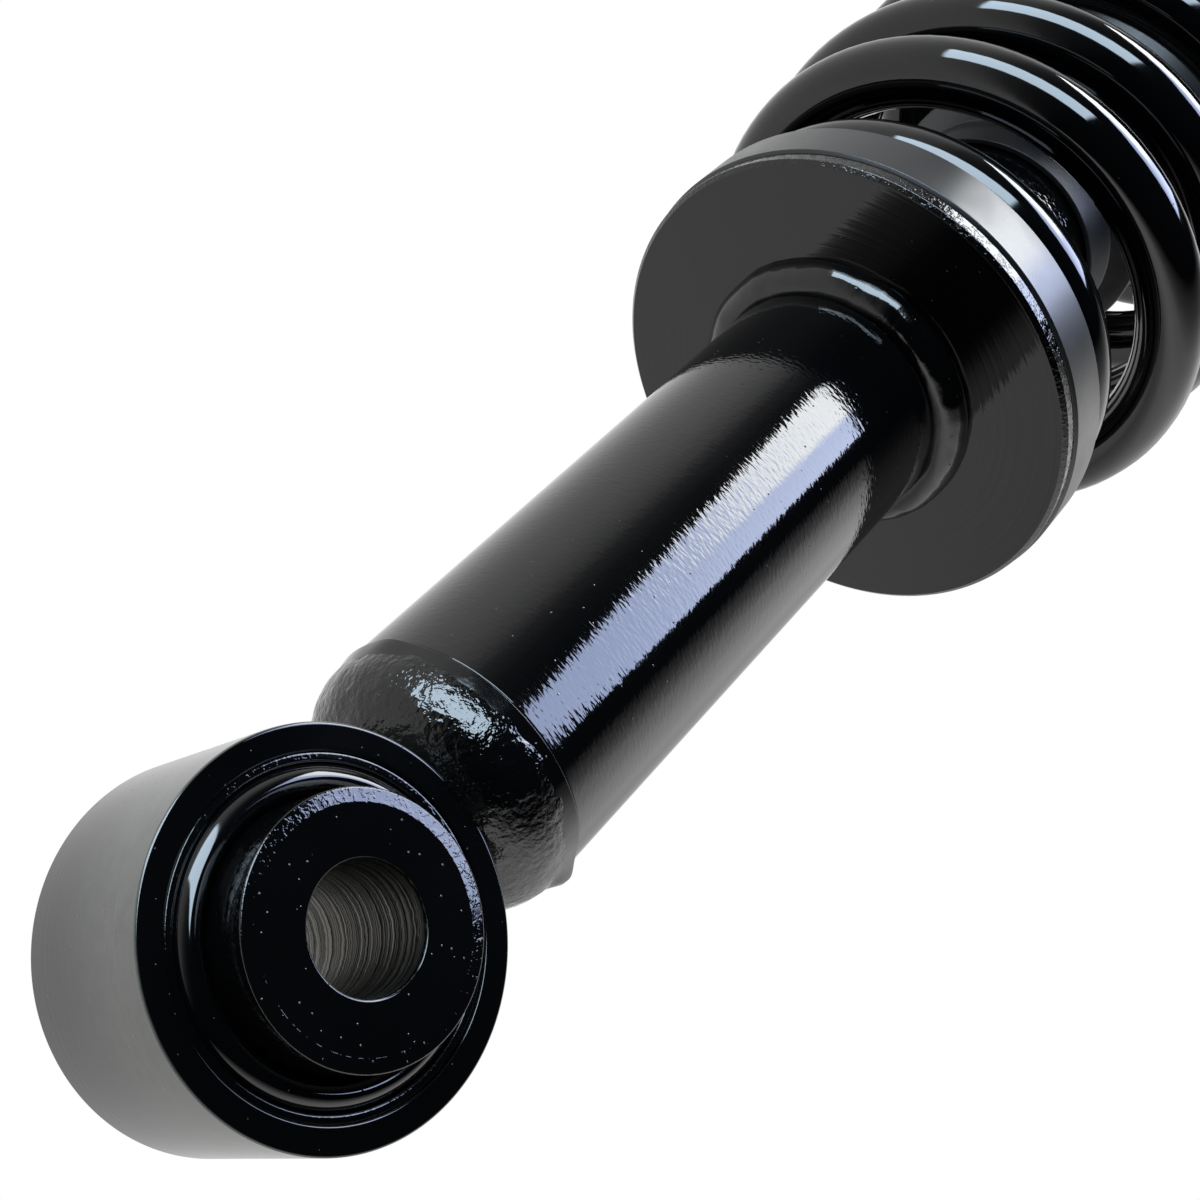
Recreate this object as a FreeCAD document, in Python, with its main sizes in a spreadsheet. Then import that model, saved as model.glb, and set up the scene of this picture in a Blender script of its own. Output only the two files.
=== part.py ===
"""Front coil-over strut assembly, as a parametric FreeCAD document.

Millimetres. The origin is the centre of the lower eye's bore. +Z runs up the strut
to the top mount, and the eye's bolt lies along Y. The damper is fully extended.
"""
import FreeCAD, Part
import Sketcher
import math
import os
import re

Vector = FreeCAD.Vector
Z_AXIS = Vector(0, 0, 1)

# ---------------------------------------------------------------- driving dimensions
SIZES = [
    # lower eye and its bush, all about the Y axis
    ("eye_od", 63.5, "outside of the welded eye ring"),
    ("eye_width", 35.5, "width of the eye ring"),
    ("eye_wall", 4.5, "wall of the eye ring"),
    ("eye_edge_break", 0.8, "rounding of the ring's outer edges"),
    ("shell_wall", 1.6, "wall of the bush's outer shell"),
    ("shell_recess", 0.4, "shell end below the ring's face"),
    ("sleeve_od", 41.14, "outside of the bush's inner sleeve"),
    ("sleeve_length", 54.0, "inner sleeve, face to face"),
    ("sleeve_bevel_width", 2.3, "shallow bevel round each sleeve face"),
    ("sleeve_bevel_drop", 0.55, "fall of that bevel"),
    ("bolt_bore", 20.2, "clearance bore for an M20 bolt"),
    ("rubber_bulge", 2.2, "crown of the bush rubber past its edges"),
    ("rubber_edge", 0.9, "rubber edge below the shell's end"),
    # damper body
    ("tube_od", 50.8, "reserve tube, outside"),
    ("tube_wall", 2.3, "reserve tube wall"),
    ("tube_lip_bore", 34.0, "hole left by the rolled lip"),
    ("tube_top_round", 2.0, "rounding of the rolled top"),
    ("cap_sink", 2.25, "how far the cap sits down on the eye ring"),
    ("cap_height", 16.2, "cap from its underside to the tube's edge"),
    ("cap_round", 13.5, "rounding of the cap's shoulder"),
    ("cap_wall", 6.0, "thickness of the cap's floor"),
    ("cap_rim", 5.3, "height of the rim inside the tube"),
    ("cap_rim_wall", 3.0, "wall of that rim"),
    ("cap_floor_break", 2.0, "bevel round the cap's inner floor"),
    ("press_gap", 0.05, "gap left in each light fit"),
    ("cap_weld_proud", 0.7, "height of the seam weld on the cap"),
    ("cap_weld_width", 3.2, "width of the seam weld on the cap"),
    ("eye_weld_reach", 6.0, "leg of the eye's fillet weld"),
    # lower spring seat
    ("seat_rise", 133.7, "seat's underside above the tube's lower edge"),
    ("seat_inset", 0.6, "seat plate's edge inside the perch ring's"),
    ("seat_plate", 3.8, "thickness of the seat plate"),
    ("seat_edge_break", 0.9, "chamfer round the plate's lower edge"),
    ("seat_collar", 6.6, "height of the seat's drawn collar"),
    ("seat_collar_wall", 4.0, "wall of the drawn collar"),
    ("seat_weld_leg", 5.6, "leg of the seat's fillet weld"),
    ("perch_margin", 1.8, "perch ring past the isolator"),
    ("perch_height", 12.1, "height of the perch ring"),
    ("perch_edge_break", 0.6, "chamfer at the ring's lower edge"),
    ("perch_gap", 0.4, "gap between the ring's bore and the collar"),
    ("pad_thickness", 2.0, "lower isolator under the coil"),
    ("pad_margin", 0.7, "each isolator past its coil"),
    ("pad_lip_height", 8.0, "lip that centres the end coil"),
    ("pad_lip_wall", 3.4, "wall of that lip"),
    ("coil_gap", 0.5, "gap between a centring lip and the coil"),
    # coil spring
    ("wire_dia", 15.2, "spring wire"),
    ("end_coil_dia", 85.4, "mean diameter of the lower end coil"),
    ("coil_dia", 105.4, "mean diameter of the working coils"),
    ("coil_tip_azimuth", 140.0, "azimuth of the wire's lower tip, degrees"),
    ("coil_start_pitch", 15.7, "pitch where the first coil leaves the seat"),
    ("coil_second_pitch", 29.0, "pitch of the next half turn"),
    ("coil_close_rise", 25.2, "rise of the last turns as the top coil closes"),
    ("coil_lift", 22.4, "rise of the first coil above the end coil"),
    ("working_turns", 3.85, "turns at full pitch"),
    # hydraulic parts inside the tube
    ("cylinder_bore", 32.0, "pressure tube bore"),
    ("cylinder_wall", 1.5, "pressure tube wall"),
    ("guide_spigot", 6.0, "rod guide's spigot inside the pressure tube"),
    ("guide_flange", 8.0, "rod guide's flange"),
    ("guide_bush_wall", 1.0, "rod guide's lining"),
    ("guide_bush_inset", 0.5, "lining short of each end of the guide"),
    ("rod_clearance", 0.04, "running clearance round the rod"),
    ("seal_height", 8.0, "rod seal"),
    ("seal_lip", 1.2, "how far the seal's lips stand in"),
    ("seal_washer", 1.7, "washer over the rod seal"),
    ("valve_height", 18.5, "base valve from the cap's floor to its shoulder"),
    ("valve_plate", 8.0, "thickness of the base valve's plate"),
    ("valve_spigot", 8.0, "base valve's spigot inside the pressure tube"),
    ("valve_feet_wall", 4.0, "wall of the base valve's feet"),
    ("valve_pin_dia", 6.0, "pin through the base valve"),
    ("valve_pin_head", 11.0, "head of that pin"),
    ("valve_stop_dia", 15.0, "stop over the base valve's check plate"),
    ("valve_foot_break", 2.0, "bevel under the base valve's feet"),
    ("shim_step", 1.0, "each shim is this much larger in radius"),
    ("check_plate", 0.8, "thickness of a check plate"),
    ("check_lift", 1.0, "lift of a check plate"),
    ("stop_washer", 2.0, "stop over a check plate"),
    ("slip", 0.3, "free gap round a loose plate"),
    ("shim", 0.35, "thickness of one valve shim"),
    ("shim_count", 4, "shims in each valve"),
    ("port_dia", 2.8, "outer oil ports in both valves"),
    ("small_port_dia", 1.96, "inner oil ports in both valves"),
    ("intake_port_inset", 4.0, "outer base valve ports inside the cylinder's bore"),
    ("bleed_port_gap", 4.0, "inner base valve ports outside the pin"),
    # piston and rod
    ("rod_dia", 18.0, "piston rod"),
    ("rod_shank", 12.0, "piston rod, both threaded ends"),
    ("rod_point", 1.0, "chamfer at each end of the rod"),
    ("stroke", 118.0, "travel of the rod"),
    ("tail_gap", 2.2, "rod end to base valve, compressed"),
    ("stop_gap", 0.3, "rebound cushion to rod guide, extended"),
    ("cushion_height", 6.7, "rebound cushion"),
    ("cushion_od", 28.5, "rebound cushion, outside"),
    ("stop_ring_height", 5.0, "rebound stop ring"),
    ("stop_ring_od", 27.0, "rebound stop ring, outside"),
    ("piston_drop", 4.5, "rod shoulder below the stop ring"),
    ("piston_height", 16.0, "piston disc"),
    ("piston_od", 31.2, "piston, outside"),
    ("piston_hub_wall", 0.9, "hub that lifts the stop washer off the disc"),
    ("piston_stop_dia", 25.0, "stop washer over the piston"),
    ("compression_port_inset", 4.75, "outer piston ports inside the piston's edge"),
    ("rebound_port_gap", 2.5, "inner piston ports outside the rod"),
    ("band_height", 9.0, "piston band"),
    ("band_depth", 1.3, "depth of the band's groove"),
    ("band_clearance", 0.05, "running clearance of the band"),
    ("piston_nut_height", 10.0, "piston nut"),
    ("piston_nut_across", 18.0, "piston nut, across flats"),
    ("rod_tail", 2.3, "rod end past the piston nut"),
    # top mount
    ("rod_past_nut", 5.0, "thread past the rod nut"),
    ("mount_washer", 2.5, "cupped washers"),
    ("boot_seat_gap", 0.3, "lower cupped washer to the boot's collar"),
    ("mount_bush_od", 47.0, "mount bushes, outside"),
    ("lower_bush_height", 14.5, "mount bush under the plate"),
    ("upper_bush_height", 14.0, "mount bush over the plate"),
    ("bush_edge", 2.0, "bevel at the ends of both mount bushes"),
    ("spacer_wall", 2.4, "distance sleeve between the washers"),
    ("spacer_gap", 0.1, "gap between sleeve and rod"),
    ("rod_nut_height", 10.5, "rod nut"),
    ("rod_nut_across", 19.0, "rod nut, across flats"),
    ("nut_chamfer", 1.2, "chamfer of both nuts"),
    ("mount_plate", 5.0, "thickness of the mount plate"),
    ("plate_bore_gap", 1.2, "hole in the plate round the distance sleeve"),
    ("stud_circle", 128.0, "pitch circle of the studs"),
    ("stud_count", 3, "number of studs"),
    ("stud_dia", 10.0, "stud thread"),
    ("stud_collar_dia", 11.0, "knurled collar pressed into the plate"),
    ("stud_length", 26.0, "stud above the plate"),
    ("stud_head_dia", 16.0, "stud head"),
    ("stud_head_height", 3.5, "stud head"),
    ("stud_boss", 15.0, "plate corner radius round a stud"),
    ("upper_seat_sheet", 3.0, "sheet of the upper spring seat"),
    ("upper_seat_bore", 54.0, "hole at the upper seat's crown"),
    ("tower_clearance", 2.1, "upper seat's raised centre inside the coil"),
    ("upper_tower_height", 10.0, "rise of that centre"),
    ("upper_skirt_gap", 2.0, "upper isolator to the seat's skirt"),
    ("upper_skirt", 6.0, "depth of the upper seat's skirt"),
    ("upper_pad", 4.0, "upper isolator over the coil"),
    ("upper_lip_height", 6.0, "lip that centres the top coil"),
    # bump stop, boot and cap
    ("bump_cap", 3.0, "bump cap on the tube"),
    ("bump_cap_inset", 1.4, "bump cap's edge inside the tube's"),
    ("bump_cap_clearance", 1.5, "bump cap's hole round the rod"),
    ("bump_stop_length", 62.0, "bump stop"),
    ("bump_gap", 2.7, "bump stop to bump cap, compressed"),
    ("bump_seat_gap", 0.3, "bump stop to the washer over it"),
    ("bump_stop_od", 42.0, "bump stop, widest"),
    ("bump_stop_tip_od", 30.0, "bump stop, lower end"),
    ("bump_stop_clearance", 0.3, "bump stop's hole round the rod"),
    ("bump_stop_rib", 1.5, "rib round the lower end of the bump stop"),
    ("bump_stop_waist", 5.0, "depth of its groove"),
    ("boot_overlap", 10.0, "boot below the top of the tube"),
    ("boot_wall", 1.3, "boot wall"),
    ("boot_gap", 0.4, "gap between boot and tube"),
    ("boot_collar", 11.0, "height of each plain collar"),
    ("boot_fold", 5.4, "depth of a fold"),
]

# sizes that follow from those: widths, then levels stacked upwards from the eye
FOLLOWING = {
    "pad_od": "end_coil_dia + wire_dia + 2 * pad_margin",
    "perch_od": "pad_od + 2 * perch_margin",
    "seat_od": "perch_od - 2 * seat_inset",
    "upper_pad_od": "coil_dia + wire_dia + 2 * pad_margin",
    "upper_seat_od": "upper_pad_od + 2 * (upper_skirt_gap + upper_seat_sheet)",
    "upper_tower_od": "coil_dia - wire_dia - 2 * tower_clearance",
    "boot_bore": "tube_od + 2 * boot_gap",
    "mount_washer_od": "boot_bore - 2 * boot_seat_gap",
    "bump_cap_od": "tube_od - 2 * bump_cap_inset",
    "bump_cap_bore": "rod_dia + 2 * bump_cap_clearance",
    "bump_stop_bore": "rod_dia + 2 * bump_stop_clearance",
    "mount_plate_bore": "rod_shank + 2 * (spacer_gap + spacer_wall + plate_bore_gap)",
    "cap_foot": "eye_od / 2 - cap_sink",
    "cap_floor": "cap_foot + cap_wall",
    "tube_foot": "cap_foot + cap_height",
    "seat_face": "tube_foot + seat_rise",
    "seat_top": "seat_face + seat_plate",
    "perch_top": "seat_top + perch_height",
    "pad_top": "perch_top + pad_thickness",
    "cylinder_foot": "cap_floor + valve_height",
    "valve_crown": "cylinder_foot + valve_spigot",
    "valve_stop": "valve_crown + check_plate + check_lift",
    "rod_end": "valve_stop + stop_washer + tail_gap + stroke",
    "piston_nut_foot": "rod_end + rod_tail",
    "piston_shims_foot": "piston_nut_foot + piston_nut_height",
    "piston_foot": "piston_shims_foot + shim_count * shim",
    "piston_top": "piston_foot + piston_height",
    "piston_stop": "piston_top + check_plate + check_lift",
    "piston_shoulder": "piston_stop + stop_washer",
    "stop_ring_foot": "piston_shoulder + piston_drop",
    "stop_ring_top": "stop_ring_foot + stop_ring_height",
    "cushion_top": "stop_ring_top + cushion_height",
    "guide_foot": "cushion_top + stop_gap",
    "cylinder_top": "guide_foot + guide_spigot",
    "guide_top": "cylinder_top + guide_flange",
    "seal_top": "guide_top + seal_height",
    "tube_lip": "seal_top + seal_washer",
    "tube_top": "tube_lip + tube_wall",
    "bump_foot": "tube_top + bump_cap + stroke + bump_gap",
    "bump_top": "bump_foot + bump_stop_length",
    "rod_shoulder": "bump_top + bump_seat_gap",
    "mount_foot": "rod_shoulder + mount_washer",
    "plate_foot": "mount_foot + lower_bush_height",
    "plate_top": "plate_foot + mount_plate",
    "upper_washer_foot": "plate_top + upper_bush_height",
    "rod_nut_foot": "upper_washer_foot + mount_washer",
    "rod_tip": "rod_nut_foot + rod_nut_height + rod_past_nut",
    "flange_top": "plate_foot - upper_tower_height",
    "flange_foot": "flange_top - upper_seat_sheet",
    "upper_pad_foot": "flange_foot - upper_pad",
}

BOOT_FOLDS = 13
PORT_COUNT = 6
VENT_COUNT = 3
WORD = re.compile(r"[a-z][a-z0-9_]*")

doc = FreeCAD.newDocument("strut_assembly")
sheet = doc.addObject("Spreadsheet::Sheet", "sizes")
for row, (alias, value, note) in enumerate(SIZES, start=1):
    sheet.set("A%d" % row, alias)
    sheet.set("B%d" % row, str(value))
    sheet.set("C%d" % row, note)
    sheet.setAlias("B%d" % row, alias)
doc.recompute()

ALIASES = {alias for alias, value, note in SIZES}
FINISHED = []


# ---------------------------------------------------------------- expressions
def spelled_out(match):
    """One word of an expression: a size that follows, a cell of the sheet, or a function's name."""
    word = match.group()
    if word in FOLLOWING:
        return "(%s)" % bound(FOLLOWING[word])
    return "sizes." + word if word in ALIASES else word


def bound(text):
    """The expression with what follows written out and its aliases pointed at the sheet."""
    return WORD.sub(spelled_out, text)


def number(text):
    """The present value of an expression."""
    value = sheet.evalExpression(bound(text))
    return float(getattr(value, "Value", value))


def bind(item, **expressions):
    """Bind properties of a document object to the sheet."""
    for name, text in expressions.items():
        item.setExpression(name.replace("__", "."), bound(text))


def finish(item, label):
    """Give a sub-part its node name and keep it for export."""
    item.Label = label
    FINISHED.append((label, item))
    return item


# ---------------------------------------------------------------- turned pieces
def origin_part(body, role):
    """One of a body's own origin planes or axes."""
    return [part for part in body.Origin.OriginFeatures if part.Role == role][0]


def place_point(sketch, edge, across, up):
    """Hold the start of a sketch edge at two expressions."""
    for kind, text in (("DistanceX", across), ("DistanceY", up)):
        rank = sketch.addConstraint(Sketcher.Constraint(kind, -1, 1, edge, 1, number(text)))
        sketch.setExpression("Constraints[%d]" % rank, bound(text))


def closed_outline(sketch, outline):
    """A polygon in a sketch, its corners held at pairs of expressions."""
    corners = [Vector(number(across), number(up), 0) for across, up in outline]
    for edge, corner in enumerate(corners):
        sketch.addGeometry(Part.LineSegment(corner, corners[(edge + 1) % len(corners)]))
    for edge in range(len(corners)):
        sketch.addConstraint(Sketcher.Constraint("Coincident", edge, 2, (edge + 1) % len(corners), 1))
    for edge, (across, up) in enumerate(outline):
        place_point(sketch, edge, across, up)


def turned(name, outline, plane="XZ_Plane"):
    """A body turned from a polygon of (radius, height) expressions.

    On XZ_Plane the piece turns about Z. On XY_Plane it turns about Y.
    """
    body = doc.addObject("PartDesign::Body", name)
    sketch = body.newObject("Sketcher::SketchObject", name + "_outline")
    sketch.AttachmentSupport = [(origin_part(body, plane), "")]
    sketch.MapMode = "FlatFace"
    closed_outline(sketch, outline)
    turn = body.newObject("PartDesign::Revolution", name + "_turn")
    turn.Profile = sketch
    turn.ReferenceAxis = (sketch, ["V_Axis"])
    turn.Angle = 360
    doc.recompute()
    return body


def circular_edges(body, places, along):
    """Names of the body's circular edges at (radius, height) places."""
    wanted = [(number(radius), number(height)) for radius, height in places]
    names = []
    for rank, edge in enumerate(body.Shape.Edges, start=1):
        if not isinstance(edge.Curve, Part.Circle):
            continue
        height = edge.Curve.Center.dot(along)
        for radius, level in wanted:
            if abs(edge.Curve.Radius - radius) < 0.01 and abs(height - level) < 0.01:
                names.append("Edge%d" % rank)
    return names


def dress(body, kind, places, size, along=Z_AXIS):
    """Fillet or chamfer the circular edges at the given places."""
    shaped = body.Tip
    edges = circular_edges(body, places, along)
    step = body.newObject("PartDesign::" + kind, body.Name + "_" + kind.lower())
    step.Base = (shaped, edges)
    bind(step, **{"Radius" if kind == "Fillet" else "Size": size})
    doc.recompute()


def drilled(body, name, circle, hole, count, first_angle=0.0):
    """Drill a ring of holes along Z right through a body."""
    before = body.Shape.Volume
    sketch = body.newObject("Sketcher::SketchObject", name + "_hole")
    sketch.AttachmentSupport = [(origin_part(body, "XY_Plane"), "")]
    sketch.MapMode = "FlatFace"
    turn = FreeCAD.Rotation(Z_AXIS, first_angle)
    sketch.AttachmentOffset = FreeCAD.Placement(Vector(0, 0, 0), turn)
    centre = Vector(number(circle) / 2, 0, 0)
    sketch.addGeometry(Part.Circle(centre, Z_AXIS, number(hole) / 2))
    sketch.addConstraint(Sketcher.Constraint("PointOnObject", 0, 3, -1))
    reach = sketch.addConstraint(Sketcher.Constraint("DistanceX", -1, 1, 0, 3, centre.x))
    sketch.setExpression("Constraints[%d]" % reach, bound("(%s) / 2" % circle))
    width = sketch.addConstraint(Sketcher.Constraint("Diameter", 0, number(hole)))
    sketch.setExpression("Constraints[%d]" % width, bound(hole))
    pocket = body.newObject("PartDesign::Pocket", name + "_drill")
    pocket.Profile = sketch
    pocket.Type = 1
    pocket.Midplane = True
    doc.recompute()
    ring = body.newObject("PartDesign::PolarPattern", name + "_ring")
    ring.Originals = [pocket]
    ring.Axis = (origin_part(body, "Z_Axis"), [""])
    ring.Angle = 360
    ring.Occurrences = count
    body.Tip = ring
    doc.recompute()
    if body.Shape.Volume >= before:
        raise RuntimeError("%s: the holes cut nothing" % name)


# ---------------------------------------------------------------- primitives
def rod(name, radius, height, foot):
    """An upright cylinder from expressions."""
    item = doc.addObject("Part::Cylinder", name)
    bind(item, Radius=radius, Height=height, Placement__Base__z=foot)
    return item


def joined(name, items):
    """Several document objects fused into one."""
    item = doc.addObject("Part::MultiFuse", name)
    item.Shapes = items
    return item


def cut(name, base, tool):
    """One document object less another."""
    item = doc.addObject("Part::Cut", name)
    item.Base = base
    item.Tool = tool
    return item


def grouped(name, items):
    """Separate solids that share one node."""
    item = doc.addObject("Part::Compound", name)
    item.Links = items
    return item


def hex_nut(name, across, height, foot, bore):
    """A hexagon nut, chamfered at both ends."""
    prism = doc.addObject("Part::Prism", name + "_hexagon")
    prism.Polygon = 6
    bind(prism, Circumradius="(%s) / sqrt(3)" % across, Height=height, Placement__Base__z=foot)
    corner = "(%s) / sqrt(3)" % across
    top = "%s + %s" % (foot, height)
    blank = turned(name + "_blank", [
        ("0", foot), (corner + " - nut_chamfer", foot), (corner, foot + " + nut_chamfer / 2"),
        (corner, top + " - nut_chamfer / 2"), (corner + " - nut_chamfer", top), ("0", top)])
    chamfered = doc.addObject("Part::Common", name + "_chamfered")
    chamfered.Base = prism
    chamfered.Tool = blank
    hole = rod(name + "_hole", bore, "3 * (%s)" % height, "%s - (%s)" % (foot, height))
    return finish(cut(name, chamfered, hole), name)


# ---------------------------------------------------------------- lower eye
def lower_eye():
    """Eye ring, bush shell, rubber and inner sleeve, turned about Y."""
    along = Vector(0, 1, 0)
    eye_bore = "eye_od / 2 - eye_wall"
    half = "eye_width / 2"
    ring = turned("eye_ring", [(eye_bore, "-" + half), ("eye_od / 2", "-" + half),
                               ("eye_od / 2", half), (eye_bore, half)], "XY_Plane")
    edges = [("eye_od / 2", "-" + half), ("eye_od / 2", half)]
    dress(ring, "Fillet", edges, "eye_edge_break", along)
    finish(ring, "eye_ring")

    shell_bore = eye_bore + " - shell_wall"
    shell_half = "(%s - shell_recess)" % half
    shell = turned("bush_outer_shell", [(shell_bore, "-" + shell_half), (eye_bore, "-" + shell_half),
                                        (eye_bore, shell_half), (shell_bore, shell_half)], "XY_Plane")
    finish(shell, "bush_outer_shell")

    span = "(%s - sleeve_od / 2)" % shell_bore
    crown = [(0, 0), (0.2, 0.72), (0.5, 1), (0.8, 0.72), (1, 0)]
    rings = [("sleeve_od / 2 + %g * %s" % (across, span),
              "(%s - rubber_edge + %g * rubber_bulge)" % (shell_half, rise)) for across, rise in crown]
    outline = rings + [(radius, "-" + height) for radius, height in reversed(rings)]
    finish(turned("bush_rubber", outline, "XY_Plane"), "bush_rubber")

    bevel = "(sleeve_length / 2 - sleeve_bevel_drop)"
    face = "sleeve_length / 2"
    flat = "sleeve_od / 2 - sleeve_bevel_width"
    sleeve = turned("bush_inner_sleeve", [
        ("bolt_bore / 2", "-" + face), (flat, "-" + face), ("sleeve_od / 2", "-" + bevel),
        ("sleeve_od / 2", bevel), (flat, face), ("bolt_bore / 2", face)], "XY_Plane")
    finish(sleeve, "bush_inner_sleeve")


def eye_saddle(name):
    """The space that the eye ring takes, for pieces welded on to it."""
    block = doc.addObject("Part::Cylinder", name)
    block.Placement = FreeCAD.Placement(Vector(0, 0, 0), FreeCAD.Rotation(Vector(1, 0, 0), 90))
    bind(block, Radius="eye_od / 2", Height="eye_width", Placement__Base__y="eye_width / 2")
    return block


# ---------------------------------------------------------------- damper body
def damper_shell():
    """Bottom cap, its seam weld, the eye's fillet weld and the reserve tube."""
    inside = "tube_od / 2 - tube_wall"
    rim = inside + " - press_gap"
    cap = turned("cap_blank", [
        ("0", "cap_foot"), ("tube_od / 2", "cap_foot"), ("tube_od / 2", "tube_foot"),
        (rim, "tube_foot"), (rim, "tube_foot + cap_rim"), (rim + " - cap_rim_wall", "tube_foot + cap_rim"),
        (rim + " - cap_rim_wall", "cap_floor + cap_floor_break"),
        (rim + " - cap_rim_wall - cap_floor_break", "cap_floor"), ("0", "cap_floor")])
    dress(cap, "Fillet", [("tube_od / 2", "cap_foot")], "cap_round")
    finish(cut("base_cap", cap, eye_saddle("cap_saddle")), "base_cap")

    seam = "tube_foot - cap_weld_width"
    seam_weld = turned("cap_weld", [
        ("tube_od / 2", seam), ("tube_od / 2 + 0.8 * cap_weld_proud", seam + " + 0.25 * cap_weld_width"),
        ("tube_od / 2 + cap_weld_proud", seam + " + 0.55 * cap_weld_width"),
        ("tube_od / 2 + 0.7 * cap_weld_proud", seam + " + 0.85 * cap_weld_width"),
        ("tube_od / 2", "tube_foot")])
    finish(seam_weld, "cap_weld")

    bead = turned("eye_weld_blank", [
        ("0", "cap_foot - 0.8 * eye_weld_reach"),
        ("tube_od / 2 - 1.3 * eye_weld_reach", "cap_foot - 0.8 * eye_weld_reach"),
        ("tube_od / 2 - 0.3 * eye_weld_reach", "cap_foot + 0.2 * eye_weld_reach"),
        ("tube_od / 2 - 0.4 * eye_weld_reach", "cap_foot + eye_weld_reach"),
        ("0", "cap_foot + eye_weld_reach")])
    around = cut("eye_weld_saddled", bead, eye_saddle("weld_saddle"))
    solid_cap = turned("cap_envelope", [
        ("0", "cap_foot"), ("tube_od / 2", "cap_foot"), ("tube_od / 2", "tube_foot"), ("0", "tube_foot")])
    dress(solid_cap, "Fillet", [("tube_od / 2", "cap_foot")], "cap_round")
    finish(cut("eye_weld", around, solid_cap), "eye_weld")

    tube = turned("reserve_tube", [
        (inside, "tube_foot"), ("tube_od / 2", "tube_foot"), ("tube_od / 2", "tube_top"),
        ("tube_lip_bore / 2", "tube_top"), ("tube_lip_bore / 2", "tube_lip"), (inside, "tube_lip")])
    dress(tube, "Fillet", [("tube_od / 2", "tube_top")], "tube_top_round")
    finish(tube, "reserve_tube")


def lower_seat():
    """Spring seat plate, its weld, the perch ring and the rubber isolator."""
    collar = "tube_od / 2 + seat_collar_wall"
    plate = turned("lower_seat_plate", [
        ("tube_od / 2", "seat_face"), ("seat_od / 2", "seat_face"), ("seat_od / 2", "seat_top"),
        (collar, "seat_top"), (collar, "seat_top + seat_collar"), ("tube_od / 2", "seat_top + seat_collar")])
    dress(plate, "Chamfer", [("seat_od / 2", "seat_face")], "seat_edge_break")
    finish(plate, "lower_seat_plate")

    leg = "seat_weld_leg"
    weld = turned("seat_weld", [
        ("tube_od / 2", "seat_face - " + leg), ("tube_od / 2 + 0.34 * " + leg, "seat_face - 0.86 * " + leg),
        ("tube_od / 2 + 0.7 * " + leg, "seat_face - 0.56 * " + leg),
        ("tube_od / 2 + 0.92 * " + leg, "seat_face - 0.22 * " + leg), ("tube_od / 2 + " + leg, "seat_face"),
        ("tube_od / 2", "seat_face")])
    finish(weld, "seat_weld")

    perch = turned("spring_perch_ring", [
        (collar + " + perch_gap", "seat_top"), ("perch_od / 2", "seat_top"),
        ("perch_od / 2", "perch_top"), (collar + " + perch_gap", "perch_top")])
    dress(perch, "Chamfer", [("perch_od / 2", "seat_top"), ("perch_od / 2", "perch_top")], "perch_edge_break")
    finish(perch, "spring_perch_ring")

    coil_bore = "end_coil_dia / 2 - wire_dia / 2 - coil_gap"
    isolator = turned("lower_isolator", [
        (coil_bore + " - pad_lip_wall", "perch_top"), ("pad_od / 2", "perch_top"), ("pad_od / 2", "pad_top"),
        (coil_bore, "pad_top"), (coil_bore, "pad_top + pad_lip_height"),
        (coil_bore + " - pad_lip_wall", "pad_top + pad_lip_height")])
    finish(isolator, "lower_isolator")


# ---------------------------------------------------------------- coil spring
def hermite(start, end, share):
    """Cubic between two stations of (turn, height, pitch)."""
    turns = end[0] - start[0]
    square = share * share
    cube = square * share
    return ((2 * cube - 3 * square + 1) * start[1] + (cube - 2 * square + share) * turns * start[2]
            + (3 * square - 2 * cube) * end[1] + (cube - square) * turns * end[2])


def coil_stations():
    """(turn, height, pitch) of the wire's centre line, counted in turns from its lower tip."""
    wire = number("wire_dia / 2")
    seat = number("pad_top") + wire
    top = number("upper_pad_foot") - wire
    start_pitch = number("coil_start_pitch")
    second_pitch = number("coil_second_pitch")
    seated = 0.5
    first = 1.106
    second = 1.75
    third = second + 1
    closing = third + number("working_turns")
    closed = closing + 1.4
    first_height = seat + number("coil_lift")
    second_height = first_height + (second - first) * (start_pitch + second_pitch) / 2
    closing_height = top - number("coil_close_rise")
    pitch = (closing_height - second_height - second_pitch / 2) / (closing - third + 0.5)
    third_height = second_height + (second_pitch + pitch) / 2
    slowing_height = top - 0.22 * number("coil_close_rise")
    return [(0.0, seat, 1.0), (seated, seat + 1.0, 6.0), (first, first_height, start_pitch),
            (second, second_height, second_pitch), (third, third_height, pitch),
            (closing, closing_height, pitch), ((closing + closed) / 2, slowing_height, 0.38 * pitch),
            (closed, top, 0.0)]


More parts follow.
